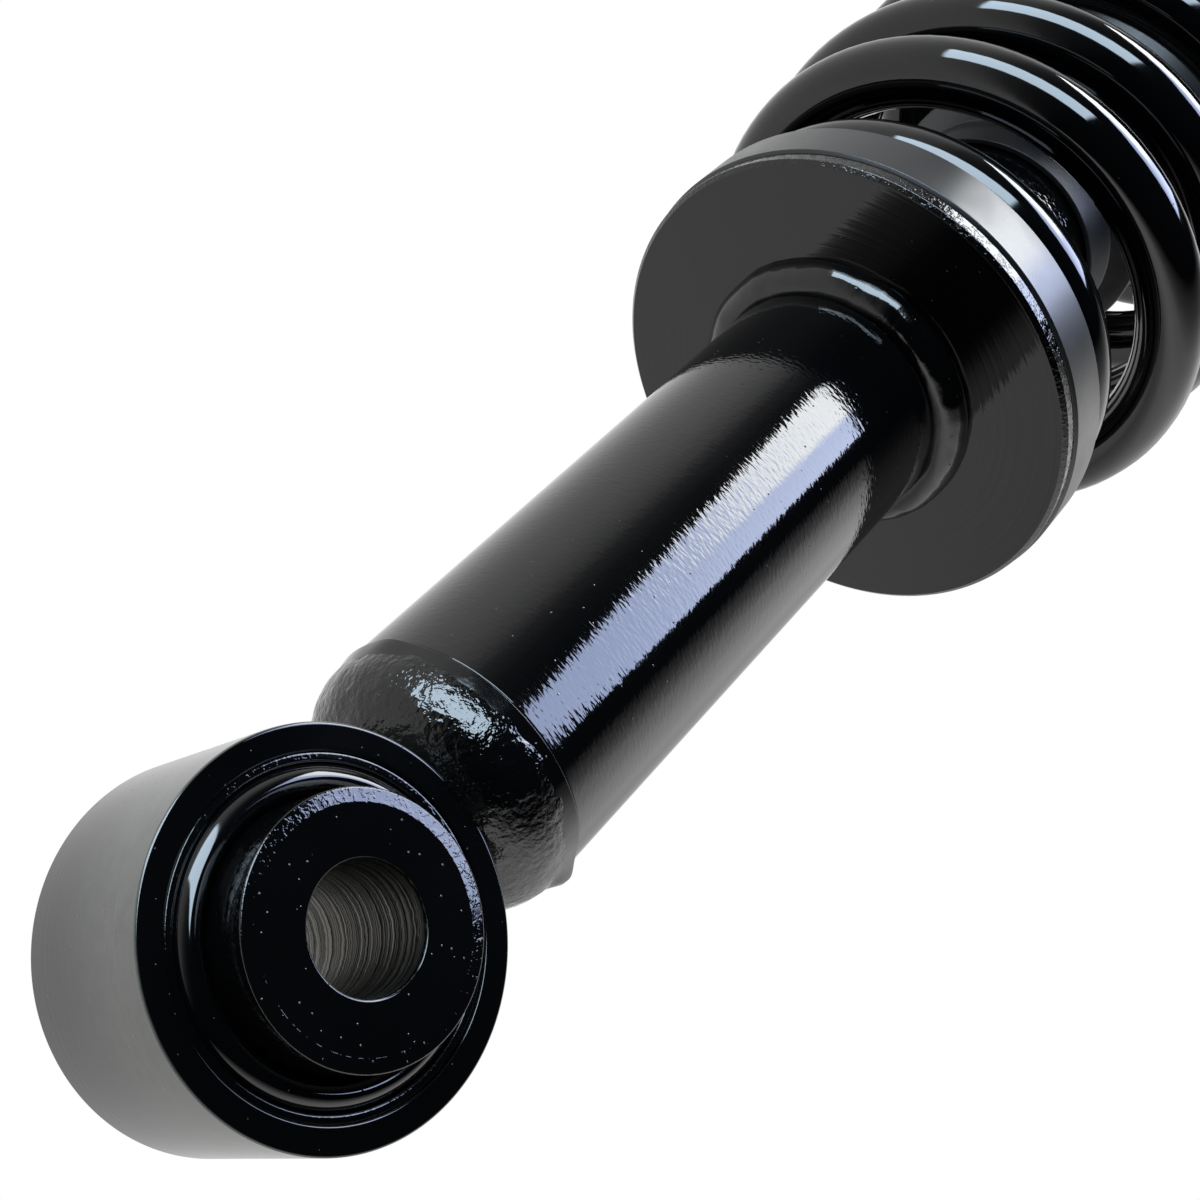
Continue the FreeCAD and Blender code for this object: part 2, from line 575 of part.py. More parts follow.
def coil_spring():
    """Right-handed wire: a small flat end coil, working coils, and a flat top coil."""
    stations = coil_stations()
    small = number("end_coil_dia / 2")
    large = number("coil_dia / 2")
    widen_from = 0.55
    widen_to = 1.33
    tip = math.radians(number("coil_tip_azimuth"))
    steps_per_turn = 16
    steps = int(round(stations[-1][0] * steps_per_turn))
    path = []
    for step in range(steps + 1):
        turn = stations[-1][0] * step / steps
        rank = max(place for place in range(len(stations) - 1) if stations[place][0] <= turn + 1e-9)
        start = stations[rank]
        end = stations[rank + 1]
        height = hermite(start, end, (turn - start[0]) / (end[0] - start[0]))
        share = min(max((turn - widen_from) / (widen_to - widen_from), 0.0), 1.0)
        radius = small + (large - small) * share * share * (3 - 2 * share)
        angle = tip + 2 * math.pi * turn
        path.append(Vector(radius * math.cos(angle), radius * math.sin(angle), height))
    centre_line = Part.BSplineCurve()
    centre_line.interpolate(path)
    spine = Part.Wire([centre_line.toShape()])
    start_direction = centre_line.tangent(centre_line.FirstParameter)[0]
    section = Part.Wire([Part.Circle(path[0], start_direction, number("wire_dia / 2")).toShape()])
    coil = Part.BRepOffsetAPI.MakePipeShell(spine)
    coil.setFrenetMode(True)
    coil.add(section)
    coil.build()
    coil.makeSolid()
    item = doc.addObject("Part::Feature", "coil_spring")
    item.Shape = coil.shape()
    finish(item, "coil_spring")


# ---------------------------------------------------------------- valves and rod guide
def shim_stack(name, smallest, foot, bore):
    """Thin spring-steel discs, larger towards the top, each a solid of its own."""
    discs = []
    for rank in range(int(number("shim_count"))):
        level = "%s + %d * shim" % (foot, rank)
        disc = rod("%s_disc_%d" % (name, rank), "%s + %d * shim_step" % (smallest, rank), "shim", level)
        hole = rod("%s_hole_%d" % (name, rank), bore, "3 * shim", "%s - shim" % level)
        discs.append(cut("%s_ring_%d" % (name, rank), disc, hole))
    finish(grouped(name, discs), name)


def base_valve():
    """Valve body on the cap's floor, with its pin, shims and check plate."""
    pin = "valve_pin_dia / 2"
    plate = "cylinder_foot - valve_plate"
    outside = "cylinder_bore / 2 + cylinder_wall"
    spigot = "cylinder_bore / 2 - press_gap"
    feet = outside + " - valve_feet_wall"
    body = turned("base_valve_body", [
        (pin, plate), (feet, plate), (feet, "cap_floor"), (outside + " - valve_foot_break", "cap_floor"),
        (outside, "cap_floor + valve_foot_break"), (outside, "cylinder_foot"), (spigot, "cylinder_foot"),
        (spigot, "valve_crown"), (pin, "valve_crown")])
    half_step = 180 / PORT_COUNT
    drilled(body, "intake_port", "cylinder_bore - 2 * intake_port_inset", "port_dia", PORT_COUNT)
    drilled(body, "bleed_port", "valve_pin_dia + 2 * bleed_port_gap", "small_port_dia", PORT_COUNT, half_step)
    finish(body, "base_valve_body")

    shims_foot = plate + " - shim_count * shim"
    shim_stack("base_valve_shims", "valve_pin_head / 2 + shim_step", shims_foot, pin)
    plate_top = "valve_crown + check_plate"
    head = shims_foot + " - valve_pin_dia / 2"
    finish(turned("base_valve_pin", [
        ("0", head), ("valve_pin_head / 2", head), ("valve_pin_head / 2", shims_foot), (pin, shims_foot),
        (pin, "valve_stop"), ("valve_stop_dia / 2", "valve_stop"),
        ("valve_stop_dia / 2", "valve_stop + stop_washer"), ("0", "valve_stop + stop_washer")]),
        "base_valve_pin")
    rim = spigot + " - 3 * slip"
    finish(turned("base_check_plate", [
        (pin + " + slip", "valve_crown"), (rim, "valve_crown"), (rim, plate_top), (pin + " + slip", plate_top)]),
        "base_check_plate")


def cylinder_head():
    """Pressure tube, rod guide, its lining, the rod seal and the seal's washer."""
    inside = "tube_od / 2 - tube_wall - press_gap"
    cylinder_out = "cylinder_bore / 2 + cylinder_wall"
    bore = "rod_dia / 2 + rod_clearance"
    lining = bore + " + guide_bush_wall"
    finish(turned("pressure_tube", [
        ("cylinder_bore / 2", "cylinder_foot"), (cylinder_out, "cylinder_foot"),
        (cylinder_out, "cylinder_top"), ("cylinder_bore / 2", "cylinder_top")]), "pressure_tube")
    spigot = "cylinder_bore / 2 - press_gap"
    finish(turned("rod_guide", [
        (lining, "guide_foot"), (spigot, "guide_foot"), (spigot, "cylinder_top"), (inside, "cylinder_top"),
        (inside, "guide_top"), (lining, "guide_top")]), "rod_guide")
    finish(turned("guide_bush", [
        (bore, "guide_foot + guide_bush_inset"), (lining, "guide_foot + guide_bush_inset"),
        (lining, "guide_top - guide_bush_inset"), (bore, "guide_top - guide_bush_inset")]), "guide_bush")
    lip_root = bore + " + seal_lip"
    finish(turned("rod_seal", [
        (lip_root, "guide_top"), (inside, "guide_top"), (inside, "seal_top"), (lip_root, "seal_top"),
        (bore, "seal_top - seal_lip"), (lip_root, "seal_top - 2 * seal_lip"),
        (lip_root, "guide_top + 2 * seal_lip"), (bore, "guide_top + seal_lip")]), "rod_seal")
    finish(turned("seal_washer", [
        (lip_root, "seal_top"), (inside, "seal_top"), (inside, "tube_lip"), (lip_root, "tube_lip")]),
        "seal_washer")


# ---------------------------------------------------------------- rod and piston
def rod_and_piston():
    """Rod, rebound stop and cushion, piston with its valves, and the piston nut."""
    shank = "rod_shank / 2"
    around = "rod_dia / 2 + rod_clearance"
    finish(turned("piston_rod", [
        ("0", "rod_end"), (shank + " - rod_point", "rod_end"), (shank, "rod_end + rod_point"),
        (shank, "piston_shoulder"), ("rod_dia / 2", "piston_shoulder"), ("rod_dia / 2", "rod_shoulder"),
        (shank, "rod_shoulder"), (shank, "rod_tip - rod_point"), (shank + " - rod_point", "rod_tip"),
        ("0", "rod_tip")]), "piston_rod")
    finish(turned("rebound_cushion", [
        (around, "stop_ring_top"), ("cushion_od / 2", "stop_ring_top"),
        ("cushion_od / 2", "cushion_top - 0.3 * cushion_height"),
        ("cushion_od / 2 - 0.2 * cushion_height", "cushion_top"), (around, "cushion_top")]),
        "rebound_cushion")
    finish(turned("rebound_stop_ring", [
        ("rod_dia / 2", "stop_ring_foot"), ("stop_ring_od / 2", "stop_ring_foot"),
        ("stop_ring_od / 2", "stop_ring_top"), ("rod_dia / 2", "stop_ring_top")]), "rebound_stop_ring")
    stop = "piston_stop_dia / 2"
    hub = shank + " + piston_hub_wall"
    plate_top = "piston_top + check_plate"
    finish(turned("piston_stop_washer", [
        (shank, "piston_stop"), (stop, "piston_stop"), (stop, "piston_shoulder"), (shank, "piston_shoulder")]),
        "piston_stop_washer")
    rim = stop + " + 5 * slip"
    finish(turned("piston_check_plate", [
        (hub + " + slip", "piston_top"), (rim, "piston_top"), (rim, plate_top), (hub + " + slip", plate_top)]),
        "piston_check_plate")
    groove = "piston_od / 2 - band_depth"
    band_foot = "piston_foot + (piston_height - band_height) / 2"
    band_top = band_foot + " + band_height"
    piston = turned("piston", [
        (shank, "piston_foot"), ("piston_od / 2", "piston_foot"), ("piston_od / 2", band_foot),
        (groove, band_foot), (groove, band_top), ("piston_od / 2", band_top), ("piston_od / 2", "piston_top"),
        (hub, "piston_top"), (hub, "piston_stop"), (shank, "piston_stop")])
    half_step = 180 / PORT_COUNT
    drilled(piston, "compression_port", "piston_od - 2 * compression_port_inset", "port_dia", PORT_COUNT)
    drilled(piston, "rebound_port", "rod_shank + 2 * rebound_port_gap", "small_port_dia", PORT_COUNT, half_step)
    finish(piston, "piston")
    finish(turned("piston_band", [
        (groove + " + band_clearance", band_foot + " + 2 * band_clearance"),
        ("cylinder_bore / 2 - band_clearance", band_foot + " + 2 * band_clearance"),
        ("cylinder_bore / 2 - band_clearance", band_top + " - 2 * band_clearance"),
        (groove + " + band_clearance", band_top + " - 2 * band_clearance")]), "piston_band")
    shim_stack("piston_shims", stop + " - (shim_count - 1) * shim_step", "piston_shims_foot", shank)
    hex_nut("piston_nut", "piston_nut_across", "piston_nut_height", "piston_nut_foot", shank)


# ---------------------------------------------------------------- bump stop and boot
def bump_parts():
    """Bump cap on the tube, the foam bump stop and the bellows boot."""
    cap = turned("bump_cap", [
        ("bump_cap_bore / 2", "tube_top"), ("bump_cap_od / 2", "tube_top"),
        ("bump_cap_od / 2", "tube_top + 0.6 * bump_cap"),
        ("bump_cap_od / 2 - 0.4 * bump_cap", "tube_top + bump_cap"),
        ("bump_cap_bore / 2", "tube_top + bump_cap")])
    drilled(cap, "vent", "(bump_cap_od + bump_cap_bore) / 2", "port_dia", VENT_COUNT)
    finish(cap, "bump_cap")

    wide = "bump_stop_od / 2"
    tip = "bump_stop_tip_od / 2"
    rib = tip + " + bump_stop_rib"
    waist = wide + " - bump_stop_waist"
    middle = "(%s + %s) / 2" % (tip, wide)
    levels = [(tip, 0.0), (rib, 0.05), (rib, 0.24), (tip + " - bump_stop_rib", 0.3),
              (middle, 0.36), (middle, 0.56), (waist, 0.62), (wide, 0.68), (wide, 1.0)]
    outline = [("bump_stop_bore / 2", "bump_foot")]
    outline += [(radius, "bump_foot + %g * bump_stop_length" % share) for radius, share in levels]
    outline += [("bump_stop_bore / 2", "bump_top")]
    finish(turned("bump_stop", outline), "bump_stop")


def dust_boot():
    """Bellows from the tube's top to the mount's lower washer."""
    foot = "tube_top - boot_overlap"
    inner = "boot_bore / 2"
    folds_foot = foot + " + boot_collar"
    fold = "((mount_foot - boot_collar) - (%s)) / %d" % (folds_foot, BOOT_FOLDS)
    skin = [(inner, foot), (inner, folds_foot)]
    for rank in range(BOOT_FOLDS):
        level = "%s + %g * %s" % (folds_foot, rank + 0.5, fold)
        skin.append((inner + " + boot_fold", level))
        skin.append((inner, "%s + %d * %s" % (folds_foot, rank + 1, fold)))
    skin.append((inner, "mount_foot"))
    outside = [(radius + " + boot_wall", height) for radius, height in reversed(skin)]
    finish(turned("dust_boot", skin + outside), "dust_boot")


# ---------------------------------------------------------------- top mount
def mount_plate():
    """Three-cornered plate with a hole for the sleeve and one for each stud."""
    count = int(number("stud_count"))
    body = doc.addObject("PartDesign::Body", "mount_plate")
    sketch = body.newObject("Sketcher::SketchObject", "mount_plate_outline")
    sketch.AttachmentSupport = [(origin_part(body, "XY_Plane"), "")]
    sketch.MapMode = "FlatFace"
    sketch.setExpression("AttachmentOffset.Base.z", bound("plate_foot"))
    reach = number("stud_circle / 2")
    corner = number("stud_boss")
    half = math.pi / count
    for rank in range(count):
        heading = 2 * half * rank
        centre = Vector(reach * math.cos(heading), reach * math.sin(heading), 0)
        circle = Part.Circle(centre, Z_AXIS, corner)
        sketch.addGeometry(Part.ArcOfCircle(circle, heading - half, heading + half))
    for rank in range(count):
        outward = 2 * half * rank + half
        side = Vector(math.cos(outward), math.sin(outward), 0) * corner
        ends = [Vector(reach * math.cos(2 * half * place), reach * math.sin(2 * half * place), 0) + side
                for place in (rank, rank + 1)]
        sketch.addGeometry(Part.LineSegment(ends[0], ends[1]))
    for rank in range(count):
        line = count + rank
        sketch.addConstraint(Sketcher.Constraint("Tangent", rank, 2, line, 1))
        sketch.addConstraint(Sketcher.Constraint("Tangent", line, 2, (rank + 1) % count, 1))
        radius = sketch.addConstraint(Sketcher.Constraint("Radius", rank, corner))
        sketch.setExpression("Constraints[%d]" % radius, bound("stud_boss"))
        degrees = 360.0 * rank / count
        for kind, ratio in (("DistanceX", math.cos), ("DistanceY", math.sin)):
            share = ratio(math.radians(degrees))
            held = sketch.addConstraint(Sketcher.Constraint(kind, -1, 1, rank, 3, reach * share))
            sketch.setExpression("Constraints[%d]" % held, bound("stud_circle / 2 * %.12g" % share))
    pad = body.newObject("PartDesign::Pad", "mount_plate_pad")
    pad.Profile = sketch
    bind(pad, Length="mount_plate")
    doc.recompute()
    drilled(body, "stud_hole", "stud_circle", "stud_collar_dia", count)
    drill = rod("mount_plate_centre", "mount_plate_bore / 2", "3 * mount_plate", "plate_foot - mount_plate")
    finish(cut("mount_plate_holed", body, drill), "mount_plate")


def mount_studs():
    """Studs pressed into the plate by a knurled collar, head below it."""
    count = int(number("stud_count"))
    head_foot = "plate_foot - stud_head_height"
    studs = []
    for rank in range(count):
        angle = math.radians(360.0 * rank / count)
        steps = [
            rod("stud_head_%d" % rank, "stud_head_dia / 2", "stud_head_height", head_foot),
            rod("stud_collar_%d" % rank, "stud_collar_dia / 2", "mount_plate", "plate_foot"),
            rod("stud_thread_%d" % rank, "stud_dia / 2", "stud_length", "plate_top")]
        for item in steps:
            bind(item, Placement__Base__x="stud_circle / 2 * %.12g" % math.cos(angle),
                 Placement__Base__y="stud_circle / 2 * %.12g" % math.sin(angle))
        studs.append(joined("stud_%d" % rank, steps))
    finish(grouped("mount_studs", studs), "mount_studs")


def top_mount():
    """Spring seat, isolator, plate, studs, bushes, sleeve, washers and nut."""
    shank = "rod_shank / 2"
    wide = "mount_washer_od / 2"
    spacer_bore = shank + " + spacer_gap"
    spacer = spacer_bore + " + spacer_wall"
    washers = [("lower_mount_washer", "rod_shoulder"), ("upper_mount_washer", "upper_washer_foot")]
    for name, foot in washers:
        top = foot + " + mount_washer"
        finish(turned(name, [(shank, foot), (wide, foot), (wide, top), (shank, top)]), name)
    finish(turned("mount_spacer", [
        (spacer_bore, "mount_foot"), (spacer, "mount_foot"), (spacer, "upper_washer_foot"),
        (spacer_bore, "upper_washer_foot")]), "mount_spacer")
    bush = "mount_bush_od / 2"
    for name, foot, top in (("lower_mount_bush", "mount_foot", "plate_foot"),
                            ("upper_mount_bush", "plate_top", "upper_washer_foot")):
        finish(turned(name, [
            (spacer, foot), (bush + " - bush_edge / 2", foot), (bush, foot + " + bush_edge"),
            (bush, top + " - bush_edge"), (bush + " - bush_edge / 2", top), (spacer, top)]), name)
    hex_nut("rod_nut", "rod_nut_across", "rod_nut_height", "rod_nut_foot", shank)
    mount_plate()
    mount_studs()

    tower = "upper_tower_od / 2"
    tower_bore = tower + " - upper_seat_sheet"
    crown_foot = "plate_foot - upper_seat_sheet"
    rim = "upper_seat_od / 2"
    skirt_bore = rim + " - upper_seat_sheet"
    skirt_foot = "flange_foot - upper_skirt"
    finish(turned("upper_spring_seat", [
        ("upper_seat_bore / 2", crown_foot), (tower_bore, crown_foot), (tower_bore, "flange_foot"),
        (skirt_bore, "flange_foot"), (skirt_bore, skirt_foot), (rim, skirt_foot), (rim, "flange_top"),
        (tower, "flange_top"), (tower, "plate_foot"), ("upper_seat_bore / 2", "plate_foot")]),
        "upper_spring_seat")
    coil_bore = "coil_dia / 2 - wire_dia / 2 - coil_gap"
    lip_bore = coil_bore + " - pad_lip_wall"
    lip_foot = "upper_pad_foot - upper_lip_height"
    finish(turned("upper_isolator", [
        (lip_bore, lip_foot), (coil_bore, lip_foot), (coil_bore, "upper_pad_foot"),
        ("upper_pad_od / 2", "upper_pad_foot"), ("upper_pad_od / 2", "flange_foot"), (lip_bore, "flange_foot")]),
        "upper_isolator")


lower_eye()
damper_shell()
lower_seat()
coil_spring()
base_valve()
cylinder_head()
rod_and_piston()
bump_parts()
dust_boot()
top_mount()
doc.recompute()

# ---------------------------------------------------------------- checks and export
for item in doc.Objects:
    if "Invalid" in item.State or "Error" in item.State:
        raise RuntimeError("%s did not build: %s" % (item.Label, item.State))
for label, item in FINISHED:
    if item.Shape.isNull() or not item.Shape.isValid() or not item.Shape.Solids:
        raise RuntimeError("%s has no valid solid" % label)

os.makedirs("parts", exist_ok=True)
for label, item in FINISHED:
    item.Shape.exportStep("parts/%s.step" % label)
print("%d nodes written" % len(FINISHED))
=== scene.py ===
"""Looks of the front coil-over strut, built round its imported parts. Sizes in the sections are millimetres."""
import math

import bpy
from mathutils import Matrix, Vector, noise


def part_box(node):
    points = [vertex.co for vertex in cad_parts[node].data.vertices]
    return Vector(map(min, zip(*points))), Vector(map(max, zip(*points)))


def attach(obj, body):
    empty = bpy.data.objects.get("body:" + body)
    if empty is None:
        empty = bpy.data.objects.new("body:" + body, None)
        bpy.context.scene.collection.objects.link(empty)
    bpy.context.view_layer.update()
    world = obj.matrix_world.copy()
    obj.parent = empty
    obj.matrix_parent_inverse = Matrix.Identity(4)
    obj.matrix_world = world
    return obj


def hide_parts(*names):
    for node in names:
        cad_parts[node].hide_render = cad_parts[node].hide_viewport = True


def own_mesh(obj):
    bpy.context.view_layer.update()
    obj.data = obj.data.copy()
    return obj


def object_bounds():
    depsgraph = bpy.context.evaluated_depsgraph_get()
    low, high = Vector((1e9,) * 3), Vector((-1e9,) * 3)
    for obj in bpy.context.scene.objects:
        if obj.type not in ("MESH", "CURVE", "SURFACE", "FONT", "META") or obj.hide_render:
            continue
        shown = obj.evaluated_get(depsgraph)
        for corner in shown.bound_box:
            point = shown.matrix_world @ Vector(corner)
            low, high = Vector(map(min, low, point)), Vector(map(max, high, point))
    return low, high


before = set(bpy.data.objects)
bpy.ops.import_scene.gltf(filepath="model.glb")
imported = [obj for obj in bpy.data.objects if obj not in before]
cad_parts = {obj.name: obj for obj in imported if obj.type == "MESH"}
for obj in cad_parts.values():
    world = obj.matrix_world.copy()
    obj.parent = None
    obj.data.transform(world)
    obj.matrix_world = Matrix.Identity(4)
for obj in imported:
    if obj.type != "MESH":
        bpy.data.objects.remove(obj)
cad_low, cad_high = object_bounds()

# ---------------------------------------------------------------- eye ring
# The forged steel ring at the strut's foot, bored for the bush and welded across the
# bottom cap. It is turned all over, with its edges broken, then dipped with the body:
# the outer side dried satin, and the faces dried glossy with dust nibs in them.
MM = 0.001
MICRON = 1e-6
SMOOTH_UNDER = math.radians(32)


def rounded(corners, steps, margin=0.1, spare=0.4):
    """The corners of an outline as points, each corner of (radius, height, rounding) eased by its rounding.

    A side with length to spare gets a point a small margin outside the arc, which keeps the side flat.
    """
    path = []
    for place, corner in enumerate(corners):
        here = Vector(corner[:2])
        if len(corner) < 3:
            path.append(here)
            continue
        ease = corner[2]
        sides = [corners[place - 1], corners[(place + 1) % len(corners)]]
        before, after = [(Vector(side[:2]) - here).normalized() for side in sides]
        half = before.angle(after) / 2
        centre = here + (before + after).normalized() * ease / math.sin(half)
        reach = ease / math.tan(half)
        roomy = []
        for side in sides:
            taken = reach + 1.5 * (side[2] if len(side) > 2 else 0)
            roomy.append((Vector(side[:2]) - here).length > taken + spare)
        start = (here + before * reach - centre).normalized()
        end = (here + after * reach - centre).normalized()
        if roomy[0]:
            path.append(here + before * (reach + margin))
        for step in range(steps + 1):
            path.append(centre + start.slerp(end, step / steps) * ease)
        if roomy[1]:
            path.append(here + after * (reach + margin))
    return path


def turned(name, corners, about="Z", slices=160, steps=5):
    """A piece spun round an axis from the corners of its outline."""
    points = []
    for across, level in rounded(corners, steps):
        points.append(Vector((across, 0, level) if about == "Z" else (across, level, 0)) * MM)
    doubles = 0.002 * MM
    bpy.ops.object.select_all(action="DESELECT")
    bpy.ops.mesh.primitive_circle_add(vertices=3, radius=MM, location=points[0])
    piece = bpy.context.object
    piece.name = name
    bpy.ops.object.mode_set(mode="EDIT")
    bpy.ops.mesh.merge(type="CENTER")
    for start, end in zip(points, points[1:] + points[:1]):
        bpy.ops.mesh.extrude_region_move(TRANSFORM_OT_translate={"value": end - start})
    bpy.ops.mesh.select_all(action="SELECT")
    bpy.ops.mesh.remove_doubles(threshold=doubles)
    axis = (0, 0, 1) if about == "Z" else (0, 1, 0)
    bpy.ops.mesh.spin(steps=slices, angle=2 * math.pi, center=(0, 0, 0), axis=axis)
    bpy.ops.mesh.select_all(action="SELECT")
    bpy.ops.mesh.remove_doubles(threshold=doubles)
    bpy.ops.mesh.normals_make_consistent(inside=False)
    bpy.ops.object.mode_set(mode="OBJECT")
    bpy.ops.object.transform_apply(location=True, rotation=True, scale=True)
    bpy.ops.object.shade_smooth_by_angle(angle=SMOOTH_UNDER)
    return piece


def put(tree, kind, inputs=None, **settings):
    """A node in a tree, with its settings made and its inputs set or wired."""
    made = tree.nodes.new(kind if kind.startswith("NodeGroup") else "ShaderNode" + kind)
    for name, value in settings.items():
        setattr(made, name, value)
    for name, value in (inputs or {}).items():
        if isinstance(value, bpy.types.NodeSocket):
            tree.links.new(value, made.inputs[name])
        else:
            made.inputs[name].default_value = value
    return made


def reckon(tree, work, *values):
    """The result of a sum on values or sockets."""
    return put(tree, "Math", dict(enumerate(values)), operation=work).outputs[0]


def rising(tree, value, low, high, start=0.0, end=1.0):
    """A soft step of a value, from start at low to end at high."""
    inputs = {"Value": value, "From Min": low, "From Max": high, "To Min": start, "To Max": end}
    return put(tree, "MapRange", inputs, interpolation_type="SMOOTHSTEP").outputs[0]


def clouds(tree, place, scale, detail, rough=0.5):
    """A cloudy value over a piece, with its scale in swells to the metre."""
    inputs = {"Vector": place, "Scale": scale, "Detail": detail, "Roughness": rough}
    return put(tree, "TexNoise", inputs).outputs[0]


def blend(tree, share, first, second):
    """A colour between two, each of them a socket or three numbers."""
    sides = [side if isinstance(side, bpy.types.NodeSocket) else (*side, 1) for side in (first, second)]
    return put(tree, "Mix", {"Factor": share, 6: sides[0], 7: sides[1]}, data_type="RGBA").outputs[2]


def new_group(name, inputs, outputs):
    """A shader node group with its sockets, and its two end nodes."""
    tree = bpy.data.node_groups.new(name, "ShaderNodeTree")
    for side, sockets in (("INPUT", inputs), ("OUTPUT", outputs)):
        for label, kind in sockets:
            tree.interface.new_socket(label, in_out=side, socket_type="NodeSocket" + kind)
    return tree, put(tree, "NodeGroupInput"), put(tree, "NodeGroupOutput")


# the film of paint: soft peel, sharp dust nibs and a slow drift of thickness
paint_film, film_in, film_out = new_group(
    "paint film",
    [("Place", "Vector"), ("Peel Scale", "Float"), ("Nib Scale", "Float"), ("Nib Share", "Float")],
    [("Peel", "Float"), ("Nibs", "Float"), ("Drift", "Float")])
film_place = film_in.outputs["Place"]
peel_swell = clouds(paint_film, film_place, film_in.outputs["Peel Scale"], 2.0, 0.55)
nib_cells = put(paint_film, "TexVoronoi", {"Vector": film_place, "Scale": film_in.outputs["Nib Scale"]})
nib_lot = put(paint_film, "SeparateColor", {"Color": nib_cells.outputs["Color"]}).outputs
nib_kept = reckon(paint_film, "LESS_THAN", nib_lot[0], film_in.outputs["Nib Share"])
nib_size = reckon(paint_film, "MULTIPLY_ADD", nib_lot[1], 0.16, 0.06)
nib_round = rising(paint_film, nib_cells.outputs["Distance"], 0.0, nib_size, 1.0, 0.0)
paint_film.links.new(peel_swell, film_out.inputs["Peel"])
paint_film.links.new(reckon(paint_film, "MULTIPLY", nib_round, nib_kept), film_out.inputs["Nibs"])
paint_film.links.new(clouds(paint_film, film_place, 45.0, 3.0), film_out.inputs["Drift"])

# the marks of the lathe: fine rings along the way that the tool moved
lathe_marks, marks_in, marks_out = new_group(
    "lathe marks", [("Feed", "Float"), ("Rings", "Float"), ("Place", "Vector")], [("Height", "Float")])
ring_wander = clouds(lathe_marks, marks_in.outputs["Place"], 30.0, 1.0)
ring_count = reckon(lathe_marks, "MULTIPLY", marks_in.outputs["Feed"], marks_in.outputs["Rings"])
ring_count = reckon(lathe_marks, "MULTIPLY_ADD", ring_wander, 0.7, ring_count)
ring_noise = put(lathe_marks, "TexNoise", {"W": ring_count, "Scale": 1.0, "Detail": 2.5, "Roughness": 0.6},
                 noise_dimensions="1D")
lathe_marks.links.new(ring_noise.outputs[0], marks_out.inputs["Height"])


def new_material(name):
    """A material whose shader is wired to the surface, with the place on the piece for its patterns."""
    material = bpy.data.materials.new(name)
    material.use_nodes = True
    tree = material.node_tree
    tree.nodes.clear()
    shader = put(tree, "BsdfPrincipled")
    put(tree, "OutputMaterial", {"Surface": shader.outputs[0]})
    return material, tree, shader, put(tree, "TexCoord").outputs["Object"]


def wire_up(tree, shader, colour, shine, height, depth=1.0):
    """Wire a colour, a roughness and a height of depth metres into a shader."""
    bump = put(tree, "Bump", {"Height": height, "Strength": 1.0, "Distance": depth})
    tree.links.new(colour, shader.inputs["Base Color"])
    tree.links.new(shine, shader.inputs["Roughness"])
    tree.links.new(bump.outputs[0], shader.inputs["Normal"])


def along(tree, place, feed):
    """The way that a lathe tool moved over a piece, in metres: its radius or height, about Z or Y."""
    axis = feed[-1]
    if feed.startswith("height"):
        return put(tree, "SeparateXYZ", {"Vector": place}).outputs[axis]
    sideways = (1, 1, 0) if axis == "Z" else (1, 0, 1)
    flat = put(tree, "VectorMath", {0: place, 1: sideways}, operation="MULTIPLY")
    return put(tree, "VectorMath", {0: flat.outputs[0]}, operation="LENGTH").outputs["Value"]


def turning_marks(tree, place, way, rings):
    """The height of a lathe's rings, with so many swells to the metre, from the shared group."""
    sockets = {"Feed": way, "Rings": rings}
    if place is not None:
        sockets["Place"] = place
    return put(tree, "Group", sockets, node_tree=lathe_marks).outputs["Height"]


